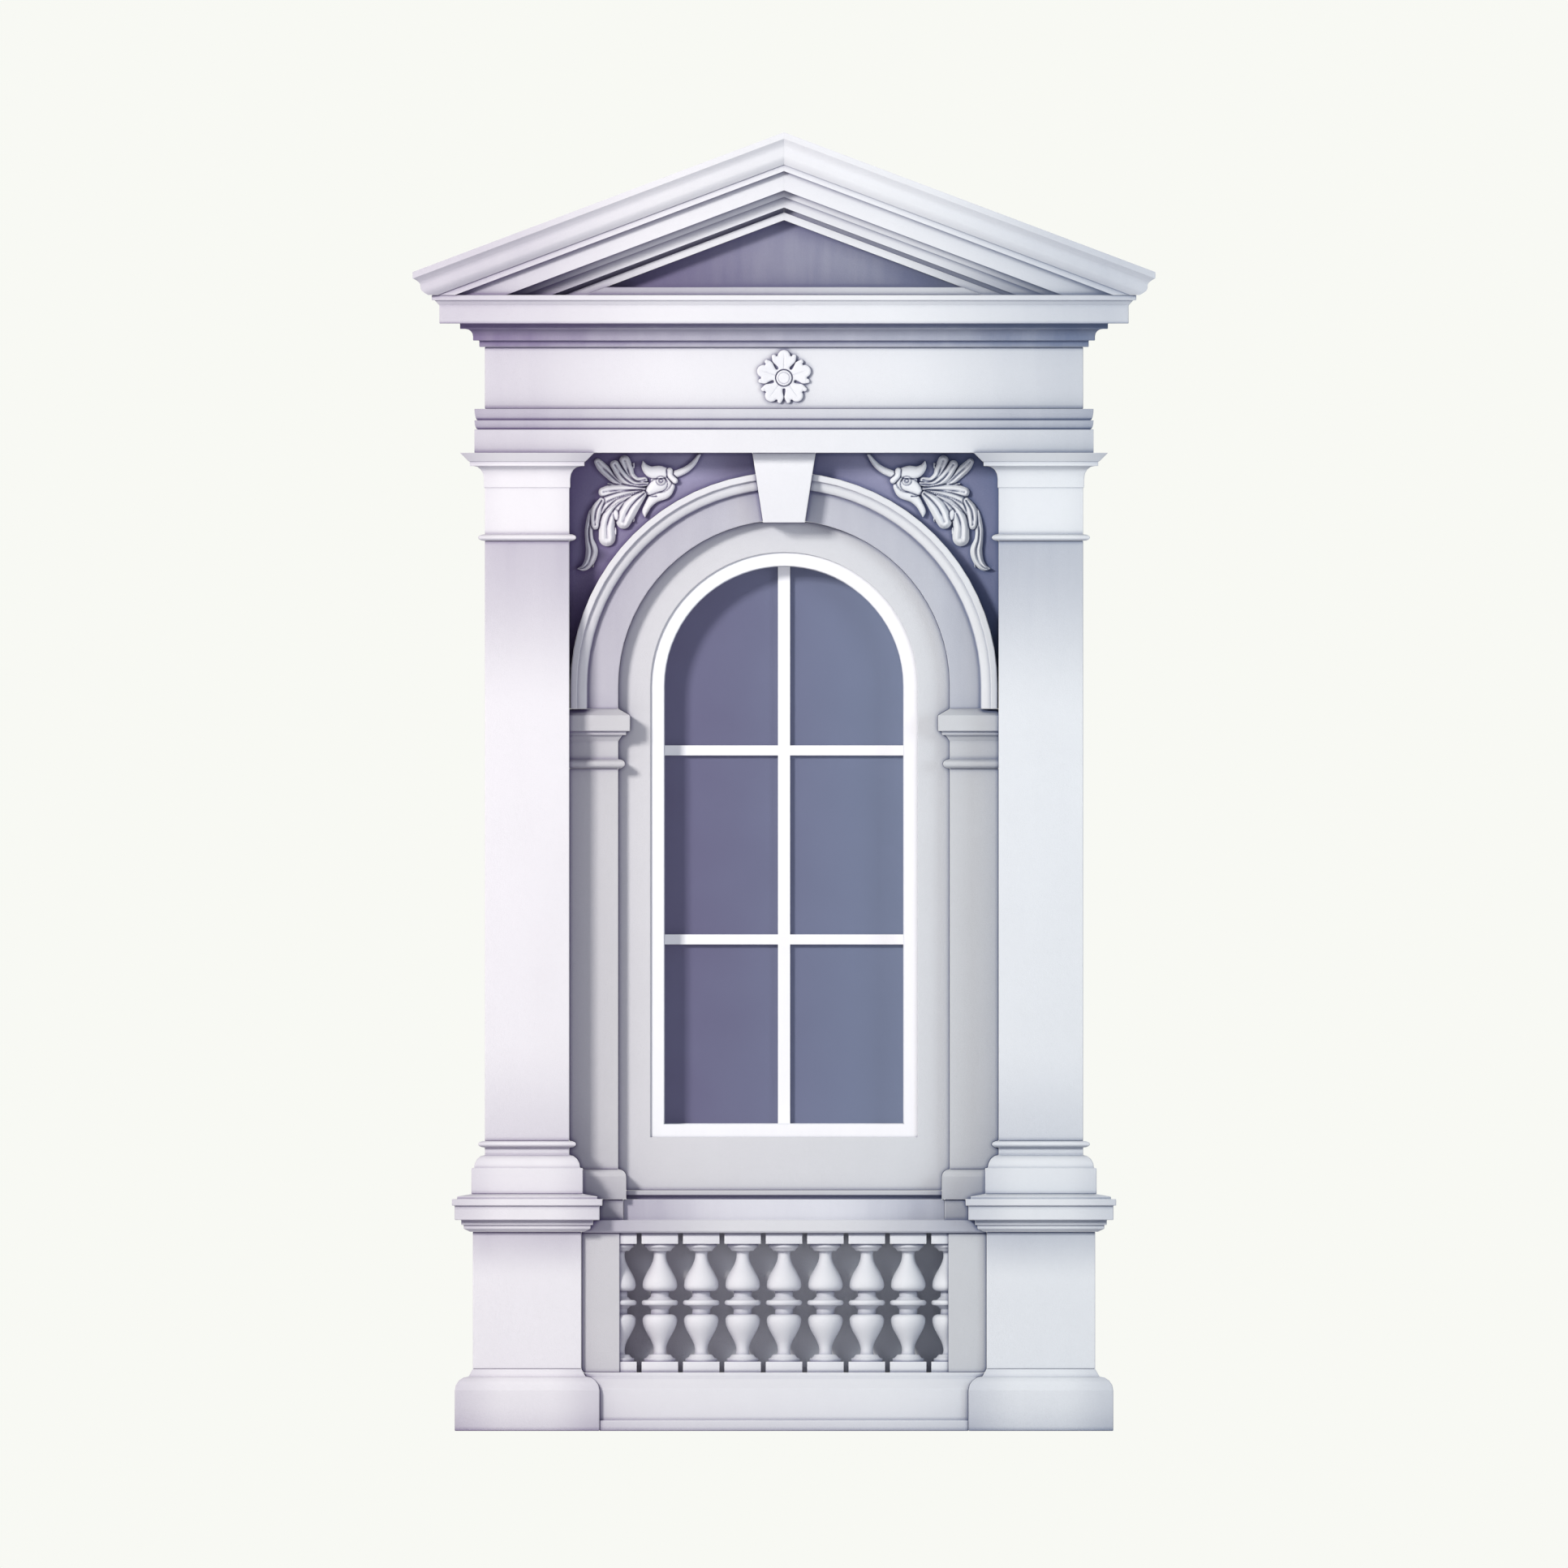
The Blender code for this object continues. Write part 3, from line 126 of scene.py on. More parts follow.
# Grain of the stone: patterns to the metre
CLOUDS = 2.6
SPECKS = 190
STREAKS = 9
STREAK_STRETCH = (1, 1, 0.12)
ROUGHENING = 60
PITS = 260
PIT_EDGES = (0.08, 0.24)
STONE_RELIEF = 0.0012
STONE_ROUGHNESS = 0.74

# What each grain of the stone adds to its tone, its roughness and its relief
DARKEST_TONE = 0.94
CLOUD_TONE = 0.07
SPECK_TONE = 0.03
STREAK_TONE = 0.03
SPECK_ROUGHNESS = 0.14
SPECK_HEIGHT = 0.5
ROUGHENING_HEIGHT = 0.5
PIT_HEIGHT = 0.35

# Painted shade: how far off a corner is felt, how open a place has to be to stay unshaded, and how dark
# the painted shade gets
CORNER_REACH = 0.22
LONG_REACH = 0.16
JOINT_REACH = 0.020
CORNER_OPENNESS = (0.15, 0.95)
JOINT_OPENNESS = (0.30, 0.90)
CORNER_SHARE = 0.46
JOINT_SHARE = 0.82
MOST_PAINTED_SHADE = 0.92

# How uneven the painted shade and its fades are: their least share, and what clouds or streaks add to it
PAINTED_SHADE_LEAST = 0.85
PAINTED_SHADE_CLOUDS = 0.3
FADE_LEAST = 0.75
FADE_STREAKS = 0.5

# Paint and glass
BRUSH_MARKS = 40
BRUSH_STRETCH = (1, 1, 0.08)
PAINT_CLOUDS = 5
PAINT_TONE = 0.9
# How far off a corner the painted shade on the paint is felt
PAINT_CORNER_REACH = 0.012
PAINT_ROUGHNESS = 0.38
PAINT_RELIEF = 0.0004
GLASS_RIPPLES = 3.5
GLASS_ROUGHNESS = 0.10
GLASS_RELIEF = 0.0006
GLASS_CLEARNESS = 0.12
GLASS_INDEX = 1.5

# Studio: places and sizes in metres, powers in watts
FLOOR_HALF = 40
FLOOR_TONE = 0.60
FLOOR_CLOUDS = 0.8
FLOOR_ROUGHNESS = 0.9
FLOOR_RELIEF = 0.0002
SKY = (0.78, 0.77, 0.91, 1)
SKY_STRENGTH = 0.33
BACKDROP = (0.940, 0.948, 0.904, 1)
LIT_POINT = (0, 0, 2.8)
LIGHTS = (
    ("key", (-8.6, -12.0, 8.3), 2.6, 1960, (1.0, 0.975, 0.93)),
    ("right fill", (10.0, -9.0, 4.5), 5.0, 430, (0.84, 0.93, 1.0)),
    ("left fill", (-11.0, -4.0, 2.0), 5.0, 100, (0.90, 0.83, 1.0)),
    ("back fill", (3.0, 12.0, 8.0), 6.0, 500, (0.95, 0.97, 1.0)),
)

# Picture: the ground line is at 1763 of 1932 pixels, and a pixel is 3.5 mm
PICTURE = 1932
PIXEL = 0.0035
GROUND_LINE = 1763
EYE_AWAY = 20
FARTHEST = 100

# Measured on the frame
COLUMN_AXIS = (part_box("pilaster_shaft_right")[0].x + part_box("pilaster_shaft_right")[1].x) / 2


class Value:
    """A shader socket that can stand in a sum."""

    def __init__(self, finish, socket):
        self.finish = finish
        self.socket = socket

    def sum(self, operation, a, b):
        return self.finish.node("ShaderNodeMath", {"operation": operation}, {0: a, 1: b})

    def __add__(self, other):
        return self.sum("ADD", self, other)

    def __sub__(self, other):
        return self.sum("SUBTRACT", self, other)

    def __rsub__(self, other):
        return self.sum("SUBTRACT", other, self)

    def __mul__(self, other):
        return self.sum("MULTIPLY", self, other)

    def __pow__(self, other):
        return self.sum("POWER", self, other)

    __radd__ = __add__
    __rmul__ = __mul__


class Nodes:
    """A node tree and the one way to put a node in it."""

    def __init__(self, tree):
        self.tree = tree

    def node(self, kind, settings=None, inputs=None, out=0):
        made = self.tree.nodes.new(kind)
        for key, value in (settings or {}).items():
            setattr(made, key, value)
        for key, value in (inputs or {}).items():
            if isinstance(value, Value):
                self.tree.links.new(value.socket, made.inputs[key])
            else:
                made.inputs[key].default_value = value
        return Value(self, made.outputs[out]) if made.outputs else made


class Finish(Nodes):
    """A material and the patterns that its finishes share."""

    def __init__(self, name):
        self.material = bpy.data.materials.new(name)
        self.material.use_nodes = True
        super().__init__(self.material.node_tree)
        self.tree.nodes.clear()
        self.place = self.node("ShaderNodeTexCoord", out="Object")

    def grain(self, scale, detail=4, stretch=(1, 1, 1), roughness=0.55):
        place = self.node("ShaderNodeMapping", inputs={"Vector": self.place, "Scale": stretch})
        return self.node(
            "ShaderNodeTexNoise",
            inputs={"Vector": place, "Scale": scale, "Detail": detail, "Roughness": roughness},
        )

    def pits(self, scale):
        """0 in small round pits, 1 between them."""
        cell = self.node("ShaderNodeTexVoronoi", inputs={"Vector": self.place, "Scale": scale})
        return self.band(cell, *PIT_EDGES)

    def band(self, value, low, high, to_low=0.0, to_high=1.0):
        """A smooth step of a value between two levels."""
        return self.node(
            "ShaderNodeMapRange",
            {"interpolation_type": "SMOOTHSTEP", "clamp": True},
            {0: value, 1: low, 2: high, 3: to_low, 4: to_high},
        )

    def across(self, half):
        """0 at the left of the front and 1 at its right."""
        x = self.node("ShaderNodeSeparateXYZ", inputs={"Vector": self.place}, out="X")
        return self.band(x, -half, half)

    def axis(self, name):
        return self.node("ShaderNodeSeparateXYZ", inputs={"Vector": self.place}, out=name)

    def size(self, value):
        return value.sum("MAXIMUM", value, 0 - value)

    def from_middle(self):
        """How far a place is from the upright middle of the front."""
        return self.size(self.axis("X"))

    def radius(self, centre_z):
        """Distance from the arch's centre, or from the upright middle below it."""
        up = self.axis("Z") - centre_z
        up = up.sum("MAXIMUM", up, 0)
        return (self.axis("X") ** 2 + up * up) ** 0.5

    def fade(self, value, start, end):
        """0 at the start and 1 at the end, whichever of them is larger."""
        if start < end:
            return self.band(value, start, end)
        return self.band(value, end, start, 1.0, 0.0)

    def openness(self, distance, samples=4):
        """How open a place is: 0 deep in a corner, 1 on a free face."""
        return self.node(
            "ShaderNodeAmbientOcclusion", {"samples": samples}, {"Distance": distance}, out="AO"
        )

    def mix(self, share, a, b, blend="MIX"):
        """Colour a turning to colour b."""
        return self.node(
            "ShaderNodeMix",
            {"data_type": "RGBA", "blend_type": blend},
            {0: share, 6: self.colour(a), 7: self.colour(b)},
            out=2,
        )

    def colour(self, value):
        return value if isinstance(value, Value) else (*value, 1)

    def surface(self, colour, roughness, height, relief, **plain):
        """Ends the tree: a colour, a roughness, a bump and plain values on the shader."""
        bump = self.node(
            "ShaderNodeBump", inputs={"Strength": 1.0, "Distance": relief, "Height": height}, out="Normal"
        )
        shader = self.node(
            "ShaderNodeBsdfPrincipled",
            inputs={"Base Color": colour, "Roughness": roughness, "Normal": bump, **plain},
        )
        self.node("ShaderNodeOutputMaterial", inputs={"Surface": shader})
        return self.material


def stone(name, lightness=1.0, painted_shade=1.0, reach=CORNER_REACH, joint=JOINT_REACH, fades=(), cast=NO_CAST):
    """Fine limestone, with painted shade that makes it darker and cooler in its corners and creases and
    under its ledges, and more where its fades say.

    A fade is what it goes by, where it starts, where it is full, and how much it darkens there. It goes
    by height, across, from_middle, from_axis of a column, or the height of an arch's centre.
    """
    f = Finish(name)
    side = f.across(HALF_FRONT)
    # Painted tint of the light: the stone's colour turns from lavender at the left of the front to blue
    # at its right
    left = [part * lightness * share for part, share in zip(LAVENDER_STONE, cast)]
    right = [part * lightness * share for part, share in zip(BLUE_STONE, cast)]
    unshaded = f.mix(side, left, right)
    # Colour of the painted shade, turning from mauve at the left of the front to slate at its right
    shade_colour = f.mix(side, MAUVE_PAINTED_SHADE, SLATE_PAINTED_SHADE)
    cloud = f.grain(CLOUDS, detail=5)
    speck = f.grain(SPECKS, detail=3)
    streak = f.grain(STREAKS, stretch=STREAK_STRETCH)
    tone = DARKEST_TONE + CLOUD_TONE * cloud + SPECK_TONE * speck + STREAK_TONE * streak
    tone_colour = f.node("ShaderNodeCombineColor", inputs={0: tone, 1: tone, 2: tone})
    unshaded = f.mix(1.0, unshaded, tone_colour, "MULTIPLY")
    # Painted shade in corners and recesses (wide) and in joints and creases (fine), by how open each
    # place is
    wide = f.band(f.openness(reach), *CORNER_OPENNESS, 1.0, 0.0)
    fine = f.band(f.openness(joint, 3), *JOINT_OPENNESS, 1.0, 0.0)
    share = painted_shade * (CORNER_SHARE * wide + JOINT_SHARE * fine) * (PAINTED_SHADE_LEAST + PAINTED_SHADE_CLOUDS * cloud)
    for by, start, full, most in fades:
        if by == "height":
            value = f.axis("Z")
        elif by == "from_middle":
            value = f.from_middle()
        elif by == "across":
            value = f.axis("X")
        elif by == "from_axis":
            value = f.size(f.from_middle() - COLUMN_AXIS)
        else:
            value = f.radius(by)
        uneven = FADE_LEAST + FADE_STREAKS * streak
        share = share + most * f.fade(value, start, full) * uneven
    colour = f.mix(share.sum("MINIMUM", share, MOST_PAINTED_SHADE), unshaded, shade_colour)
    height = SPECK_HEIGHT * speck + ROUGHENING_HEIGHT * f.grain(ROUGHENING) + PIT_HEIGHT * f.pits(PITS)
    return f.surface(colour, STONE_ROUGHNESS + SPECK_ROUGHNESS * speck, height, STONE_RELIEF)


def painted_timber():
    """White satin paint, with brush marks and a little painted shade in its corners."""
    f = Finish("white painted timber")
    brush = f.grain(BRUSH_MARKS, detail=3, stretch=BRUSH_STRETCH)
    cloud = f.grain(PAINT_CLOUDS)
    tone = PAINT_TONE + 0.03 * brush + 0.02 * cloud
    white = f.node("ShaderNodeCombineColor", inputs={0: tone, 1: tone, 2: 0.01 + tone})
    # Painted shade in the corners of the frame, in a slate colour
    corner = f.band(f.openness(PAINT_CORNER_REACH), *JOINT_OPENNESS, 1.0, 0.0)
    colour = f.mix(0.5 * corner, white, SLATE_PAINTED_SHADE)
    return f.surface(colour, PAINT_ROUGHNESS + 0.1 * brush, brush, PAINT_RELIEF)


def window_glass():
    """Dark grey-blue glass, a little see-through, its cast turning from mauve to blue as a painted tint
    of the light.
    """
    f = Finish("grey-blue window glass")
    ripple = f.grain(GLASS_RIPPLES, detail=1)
    colour = f.mix(f.across(HALF_WINDOW), MAUVE_GLASS, BLUE_GLASS)
    colour = f.mix(0.25 * ripple, colour, GLASS_RIPPLE)
    plain = {"Transmission Weight": GLASS_CLEARNESS, "IOR": GLASS_INDEX}
    return f.surface(colour, GLASS_ROUGHNESS + 0.05 * ripple, ripple, GLASS_RELIEF, **plain)


def baked(piece):
    """The piece with its modifiers worked into its mesh."""
    evaluated = piece.evaluated_get(bpy.context.evaluated_depsgraph_get())
    mesh = bpy.data.meshes.new_from_object(evaluated)
    piece.modifiers.clear()
    piece.data = mesh
    mesh.name = piece.name
    return piece


def new_piece(name, mesh):
    piece = bpy.data.objects.new(name, mesh)
    bpy.context.scene.collection.objects.link(piece)
    return piece


def smoothed(mesh, crease=CREASE):
    mesh.shade_smooth()
    mesh.set_sharp_from_angle(angle=crease)


def levels(node):
    """A node's lowest and highest z."""
    low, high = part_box(node)
    return low.z, high.z


def ease(piece, width, miter="MITER_SHARP"):
    """Rounds a piece's sharp edges a little."""
    bevel = piece.modifiers.new("Arris", "BEVEL")
    bevel.width = width
    bevel.segments = 2
    bevel.limit_method = "ANGLE"
    bevel.angle_limit = ARRIS_ANGLE
    bevel.use_clamp_overlap = True
    bevel.miter_outer = miter


def set_in_place(piece, nodes, slot, finish):
    piece.data.materials.clear()
    piece.data.materials.append(finish)
    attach(piece, "root")
    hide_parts(*nodes)


def dressed(node, slot, finish, arris=ARRIS, pierced=False):
    """A node's solid with its arrises eased, so that joints between stones show as fine grooves.

    The flat faces of a pierced piece are cut into triangles first, or one would close over a hole.
    """
    bm = bmesh.new()
    bm.from_mesh(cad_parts[node].data)
    bmesh.ops.remove_doubles(bm, verts=bm.verts, dist=SAME_POINT)
    bmesh.ops.dissolve_limit(bm, angle_limit=FLAT_ENOUGH, verts=bm.verts, edges=bm.edges)
    if pierced:
        bmesh.ops.triangulate(bm, faces=bm.faces)
    mesh = bpy.data.meshes.new(f"dressed_{node}")
    bm.to_mesh(mesh)
    bm.free()
    smoothed(mesh)
    piece = new_piece(f"dressed_{node}", mesh)
    ease(piece, arris, "MITER_ARC")
    weighted = piece.modifiers.new("Flat faces", "WEIGHTED_NORMAL")
    weighted.keep_sharp = True
    set_in_place(baked(piece), [node], slot, finish)


def quarter(low, high, steps):
    """Points of a quarter turn: radii from low to high, each with its share of the rise."""
    turns = [math.pi / 2 * i / steps for i in range(steps + 1)]
    return [(low + (high - low) * math.sin(turn), 1 - math.cos(turn)) for turn in turns]


def baluster_outline():
    """Radius and height of half a baluster, from the middle of its ring up to its square block."""
    points = []
    for i in range(RING_STEPS + 1):
        turn = math.pi / 2 * i / RING_STEPS
        points.append((RING_RADIUS - RING_HALF * (1 - math.cos(turn)), RING_HALF * math.sin(turn)))
    points += [(FLARE_RADIUS, RING_HALF + LEDGE), (COLLAR_RADIUS, FLARE_TOP)]
    points.append((COLLAR_RADIUS, COLLAR_TOP))
    rise = BELLY_AT - COLLAR_TOP - LEDGE
    for radius, share in quarter(BELLY_FOOT_RADIUS, BELLY_RADIUS, BELLY_STEPS):
        points.append((radius, COLLAR_TOP + LEDGE + rise * share))
    for i in range(1, NECK_STEPS + 1):
        share = i / NECK_STEPS
        swell = (1 + math.cos(math.pi * share)) / 2
        radius = WAIST_RADIUS + (BELLY_RADIUS - WAIST_RADIUS) * swell
        points.append((radius, BELLY_AT + (WAIST_AT - BELLY_AT) * share))
    for i in range(1, WAIST_STEPS + 1):
        share = i / WAIST_STEPS
        radius = WAIST_RADIUS + (WAIST_TOP_RADIUS - WAIST_RADIUS) * share**2
        points.append((radius, WAIST_AT + (CHAMFER_FOOT - WAIST_AT) * share))
    points.append((CHAMFER_FOOT_RADIUS, CHAMFER_FOOT + LEDGE))
    points += [(CHAMFER_TOP_RADIUS, CHAMFER_TOP), (FILLET_RADIUS, CHAMFER_TOP + LEDGE)]
    return points


def row_tree():
    """Geometry Nodes: an outline is turned, set between two square blocks and repeated in a row."""
    tree = bpy.data.node_groups.new("baluster row", "GeometryNodeTree")
    sockets = (
        ("Outline", "NodeSocketGeometry"),
        ("Sides", "NodeSocketInt"),
        ("Count", "NodeSocketInt"),
        ("Pitch", "NodeSocketFloat"),
        ("First", "NodeSocketVector"),
        ("Block", "NodeSocketVector"),
        ("Block Height Above Middle", "NodeSocketFloat"),
        ("Stone", "NodeSocketMaterial"),
    )
    for name, kind in sockets:
        tree.interface.new_socket(name, in_out="INPUT", socket_type=kind)
    tree.interface.new_socket("Row", in_out="OUTPUT", socket_type="NodeSocketGeometry")
    n = Nodes(tree)
    asked = tree.nodes.new("NodeGroupInput")
    given = {socket.name: Value(n, socket) for socket in asked.outputs if socket.name}
    place = n.node("GeometryNodeInputPosition")
    radius = n.node("ShaderNodeSeparateXYZ", inputs={0: place}, out="X")
    level = n.node("ShaderNodeSeparateXYZ", inputs={0: place}, out="Z")
    axis = n.node("GeometryNodeMeshToCurve", inputs={"Mesh": given["Outline"]})
    axis = n.node("GeometryNodeSetCurveRadius", inputs={"Curve": axis, "Radius": radius})
    captured = n.tree.nodes.new("GeometryNodeCaptureAttribute")
    captured.capture_items.new("FLOAT", "Turned Radius")
    n.tree.links.new(axis.socket, captured.inputs[0])
    n.tree.links.new(radius.socket, captured.inputs["Turned Radius"])
    on_axis = n.node("ShaderNodeCombineXYZ", inputs={"Z": level})
    axis = n.node(
        "GeometryNodeSetPosition", inputs={0: Value(n, captured.outputs[0]), "Position": on_axis}
    )
    round_section = n.node("GeometryNodeCurvePrimitiveCircle", inputs={"Resolution": given["Sides"]})
    body = n.node(
        "GeometryNodeCurveToMesh",
        inputs={
            "Curve": axis,
            "Profile Curve": round_section,
            "Scale": Value(n, captured.outputs["Turned Radius"]),
            "Fill Caps": True,
        },
    )
    block = n.node("GeometryNodeMeshCube", inputs={"Size": given["Block"]})
    whole = tree.nodes.new("GeometryNodeJoinGeometry")
    tree.links.new(body.socket, whole.inputs[0])
    for sign in (-1, 1):
        height = given["Block Height Above Middle"] * sign
        up = n.node("ShaderNodeCombineXYZ", inputs={"Z": height})
        moved = n.node("GeometryNodeTransform", inputs={"Geometry": block, "Translation": up})
        tree.links.new(moved.socket, whole.inputs[0])
    step = n.node("ShaderNodeCombineXYZ", inputs={"X": given["Pitch"]})
    spots = n.node(
        "GeometryNodeMeshLine",
        inputs={"Count": given["Count"], "Start Location": given["First"], "Offset": step},
    )
    row = n.node(
        "GeometryNodeInstanceOnPoints", inputs={"Points": spots, "Instance": Value(n, whole.outputs[0])}
    )
    row = n.node("GeometryNodeRealizeInstances", inputs={0: row})
    row = n.node("GeometryNodeSetMaterial", inputs={"Geometry": row, "Material": given["Stone"]})
    n.node("NodeGroupOutput", inputs={"Row": row})
    return tree


def give(modifier, **values):
    """Sets a Geometry Nodes modifier's inputs by their identifiers."""
    for socket in modifier.node_group.interface.items_tree:
        name = socket.name.replace(" ", "_")
        if socket.in_out == "INPUT" and name in values:
            modifier[socket.identifier] = values[name]


def cut_square(mesh, x, side):
    """Cuts a row off at an upright plane and closes the cut."""
    bm = bmesh.new()
    bm.from_mesh(mesh)
    cut = bmesh.ops.bisect_plane(
        bm,
        geom=bm.verts[:] + bm.edges[:] + bm.faces[:],
        plane_co=(x, 0, 0),
        plane_no=(side, 0, 0),
        clear_outer=True,
    )
    edges = [item for item in cut["geom_cut"] if isinstance(item, bmesh.types.BMEdge)]
    bmesh.ops.edgeloop_fill(bm, edges=edges)
    bm.to_mesh(mesh)
    bm.free()


def baluster_row(finish):
    middle_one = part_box("baluster_4")
    pitch = (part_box("baluster_5")[0] - middle_one[0]).x
    nodes = [f"baluster_{i}" for i in range(1, 8)] + ["half_baluster_left", "half_baluster_right"]
    centre = (middle_one[0] + middle_one[1]) / 2
    half = (middle_one[1].z - middle_one[0].z) / 2
    upper = baluster_outline() + [(FILLET_RADIUS, half - BLOCK_HEIGHT + LEDGE)]
    outline = [(radius, -z) for radius, z in reversed(upper[1:])] + upper
    mesh = bpy.data.meshes.new("baluster_row")
    edges = [(i, i + 1) for i in range(len(outline) - 1)]
    mesh.from_pydata([(radius, 0, z) for radius, z in outline], edges, [])
    piece = new_piece("baluster_row", mesh)
    modifier = piece.modifiers.new("Row", "NODES")
    modifier.node_group = row_tree()
    count = len(nodes)
    give(
        modifier,
        Sides=TURNING_SIDES,
        Count=count,
        Pitch=pitch,
        First=(-(count - 1) / 2 * pitch, centre.y, centre.z),
        Block=(2 * BLOCK_HALF, 2 * BLOCK_HALF, BLOCK_HEIGHT),
        Block_Height_Above_Middle=half - BLOCK_HEIGHT / 2,
        Stone=finish,
    )
    baked(piece)
    cut_square(piece.data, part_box("half_baluster_right")[1].x, 1)
    cut_square(piece.data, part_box("half_baluster_left")[0].x, -1)
    ease(piece, ARRIS / 2)
    baked(piece)
    smoothed(piece.data)
    set_in_place(piece, nodes, "stone", finish)


def line_through(places, count):
    """A smooth line through places, as count points."""
    p = np.array(places, float)
    p = np.vstack([2 * p[0] - p[1], p, 2 * p[-1] - p[-2]])
    share = np.linspace(0, len(places) - 1, count)
    k = np.minimum(share.astype(int), len(places) - 2)
    t = (share - k)[:, None]
    a, b, c, d = p[k], p[k + 1], p[k + 2], p[k + 3]
    return (
        2 * b + (c - a) * t + (2 * a - 5 * b + 4 * c - d) * t**2 + (3 * b - a - 3 * c + d) * t**3
    ) / 2


class Carving:
    """A relief worked over a fine grid: how far inside its outline each place is, and how high."""

    def __init__(self, low, high, pitch):
        across = np.arange(low[0], high[0] + pitch, pitch)
        down = np.arange(low[1], high[1] + pitch, pitch)
        self.a, self.b = np.meshgrid(across, down, indexing="ij")
        self.inside = np.full(self.a.shape, -1.0)
        self.height = np.zeros(self.a.shape)

    def stroke(self, places, widths, count=72):
        """Depth inside a stroke, share along it, signed distance from its line and half width."""
        middle = line_through(places, count)
        ahead = np.gradient(middle, axis=0)
        ahead /= np.linalg.norm(ahead, axis=1)[:, None]
        width = line_through([(w, 0) for w in widths], count)[:, 0]
        best = np.full(self.a.shape, 9.0)
        nearest = np.zeros(self.a.shape, int)
        for i in range(count):
            gap = np.hypot(self.a - middle[i, 0], self.b - middle[i, 1]) - width[i]
            closer = gap < best
            best[closer] = gap[closer]
            nearest[closer] = i
        off = (self.b - middle[nearest, 1]) * ahead[nearest, 0]
        off = off - (self.a - middle[nearest, 0]) * ahead[nearest, 1]
        return -best, nearest / (count - 1), off, width[nearest]

    def oval(self, place, radii, turn=0):
        """Depth inside an oval and distance from its centre as a share."""
        a, b = self.a - place[0], self.b - place[1]
        along = (a * math.cos(turn) + b * math.sin(turn)) / radii[0]
        aside = (b * math.cos(turn) - a * math.sin(turn)) / radii[1]
        share = np.hypot(along, aside)
        return (1 - share) * min(radii), share

    def lay(self, depth, height, edge):
        """Lays a shape over what is there, with a quirk cut round it."""
        over = depth > 0
        near = np.clip(1 + depth / QUIRK, 0, 1)
        self.height = self.height - QUIRK_DEPTH * np.where(over | (self.inside <= 0), 0, near)
        outside = (self.inside <= 0) & (depth > self.inside)
        self.height = np.where(over, height, np.where(outside, edge, self.height))
        self.inside = np.maximum(self.inside, depth)

    def leaf(self, places, widths, lift, crown):
        """A lobe of a leaf: raised flanks, a vein cut along its middle and fine ribs beside it."""
        depth, along, off, width = self.stroke(places, widths)
        share = np.clip(1 - depth / width, 0, 1)
        flank = 0.72 * np.sin(math.pi * share**0.9) + 0.55 * (1 - share**2)
        tip = 1 + TIP_CROWN * np.clip((along - TIP_START) / (1 - TIP_START), 0, 1)
        edge = EDGE_HEIGHT + lift
        rib = RIB_HEIGHT * np.cos(2 * math.pi * RIBS * off / width) * (1 - share)
        cut = VEIN_DEPTH * np.exp(-((off / VEIN) ** 2)) * np.clip((VEIN_END - along) * 8, 0, 1)
        self.lay(depth, edge + crown * flank * tip + rib - cut, edge)

    def swell(self, depth, width, lift, crown):
        """A plain rounded form over a depth."""
        share = np.clip(1 - depth / width, 0, 1)
        self.lay(depth, lift + crown * np.sqrt(1 - share**2 + NEVER_BELOW), lift)

    def roll(self, places, widths, lift, crown):
        """A plain rounded form along a line."""
        depth, _, _, width = self.stroke(places, widths)
        self.swell(depth, width, lift, crown)

    def groove(self, places, width, deep):
        """A line cut into what is there."""
        depth, *_ = self.stroke(places, [width] * len(places))
        self.height = self.height - deep * np.clip(depth / width, 0, 1) ** 0.7

    def mesh(self, name, to_space, back):
        """The closed mesh of the relief, cut cleanly along its outline."""
        inside, height = self.inside > 0, self.height
        points, faces = [], []
        spot = np.full(inside.shape, -1)
        spot[inside] = np.arange(inside.sum())
        points += list(zip(self.a[inside], self.b[inside], height[inside]))
        across = self.crossings(points, 0)
        down = self.crossings(points, 1)
        rows, columns = inside.shape
        for i in range(rows - 1):
            for j in range(columns - 1):
                corners = ((i, j), (i + 1, j), (i + 1, j + 1), (i, j + 1))
                sides = (across[i, j], down[i + 1, j], across[i, j + 1], down[i, j])
                if not any(inside[corner] for corner in corners):
                    continue
                face = []
                for corner, side in zip(corners, sides):
                    if inside[corner]:
                        face.append(int(spot[corner]))
                    if side >= 0:
                        face.append(int(side))
                if len(face) > 2:
                    faces.append(face)
        mesh = bpy.data.meshes.new(name)
        mesh.from_pydata([to_space(*point) for point in points], [], faces)
        return closed_behind(mesh, to_space(0, 0, back)[1])

    def crossings(self, points, axis):
        """Adds a point wherever the outline crosses the grid one way, and says where each is."""
        ahead = [np.roll(grid, -1, axis) for grid in (self.inside, self.a, self.b, self.height)]
        crossed = (self.inside > 0) != (ahead[0] > 0)
        crossed[(-1, slice(None)) if axis == 0 else (slice(None), -1)] = False
        share = self.inside[crossed] / (self.inside[crossed] - ahead[0][crossed])
        share = np.clip(share, NEAREST_CROSSING, 1 - NEAREST_CROSSING)
        found = np.full(crossed.shape, -1)
        found[crossed] = len(points) + np.arange(crossed.sum())
        made = []
        for own, other in zip((self.a, self.b, self.height), ahead[1:]):
            made.append(own[crossed] * (1 - share) + other[crossed] * share)
        points += list(zip(*made))
        return found


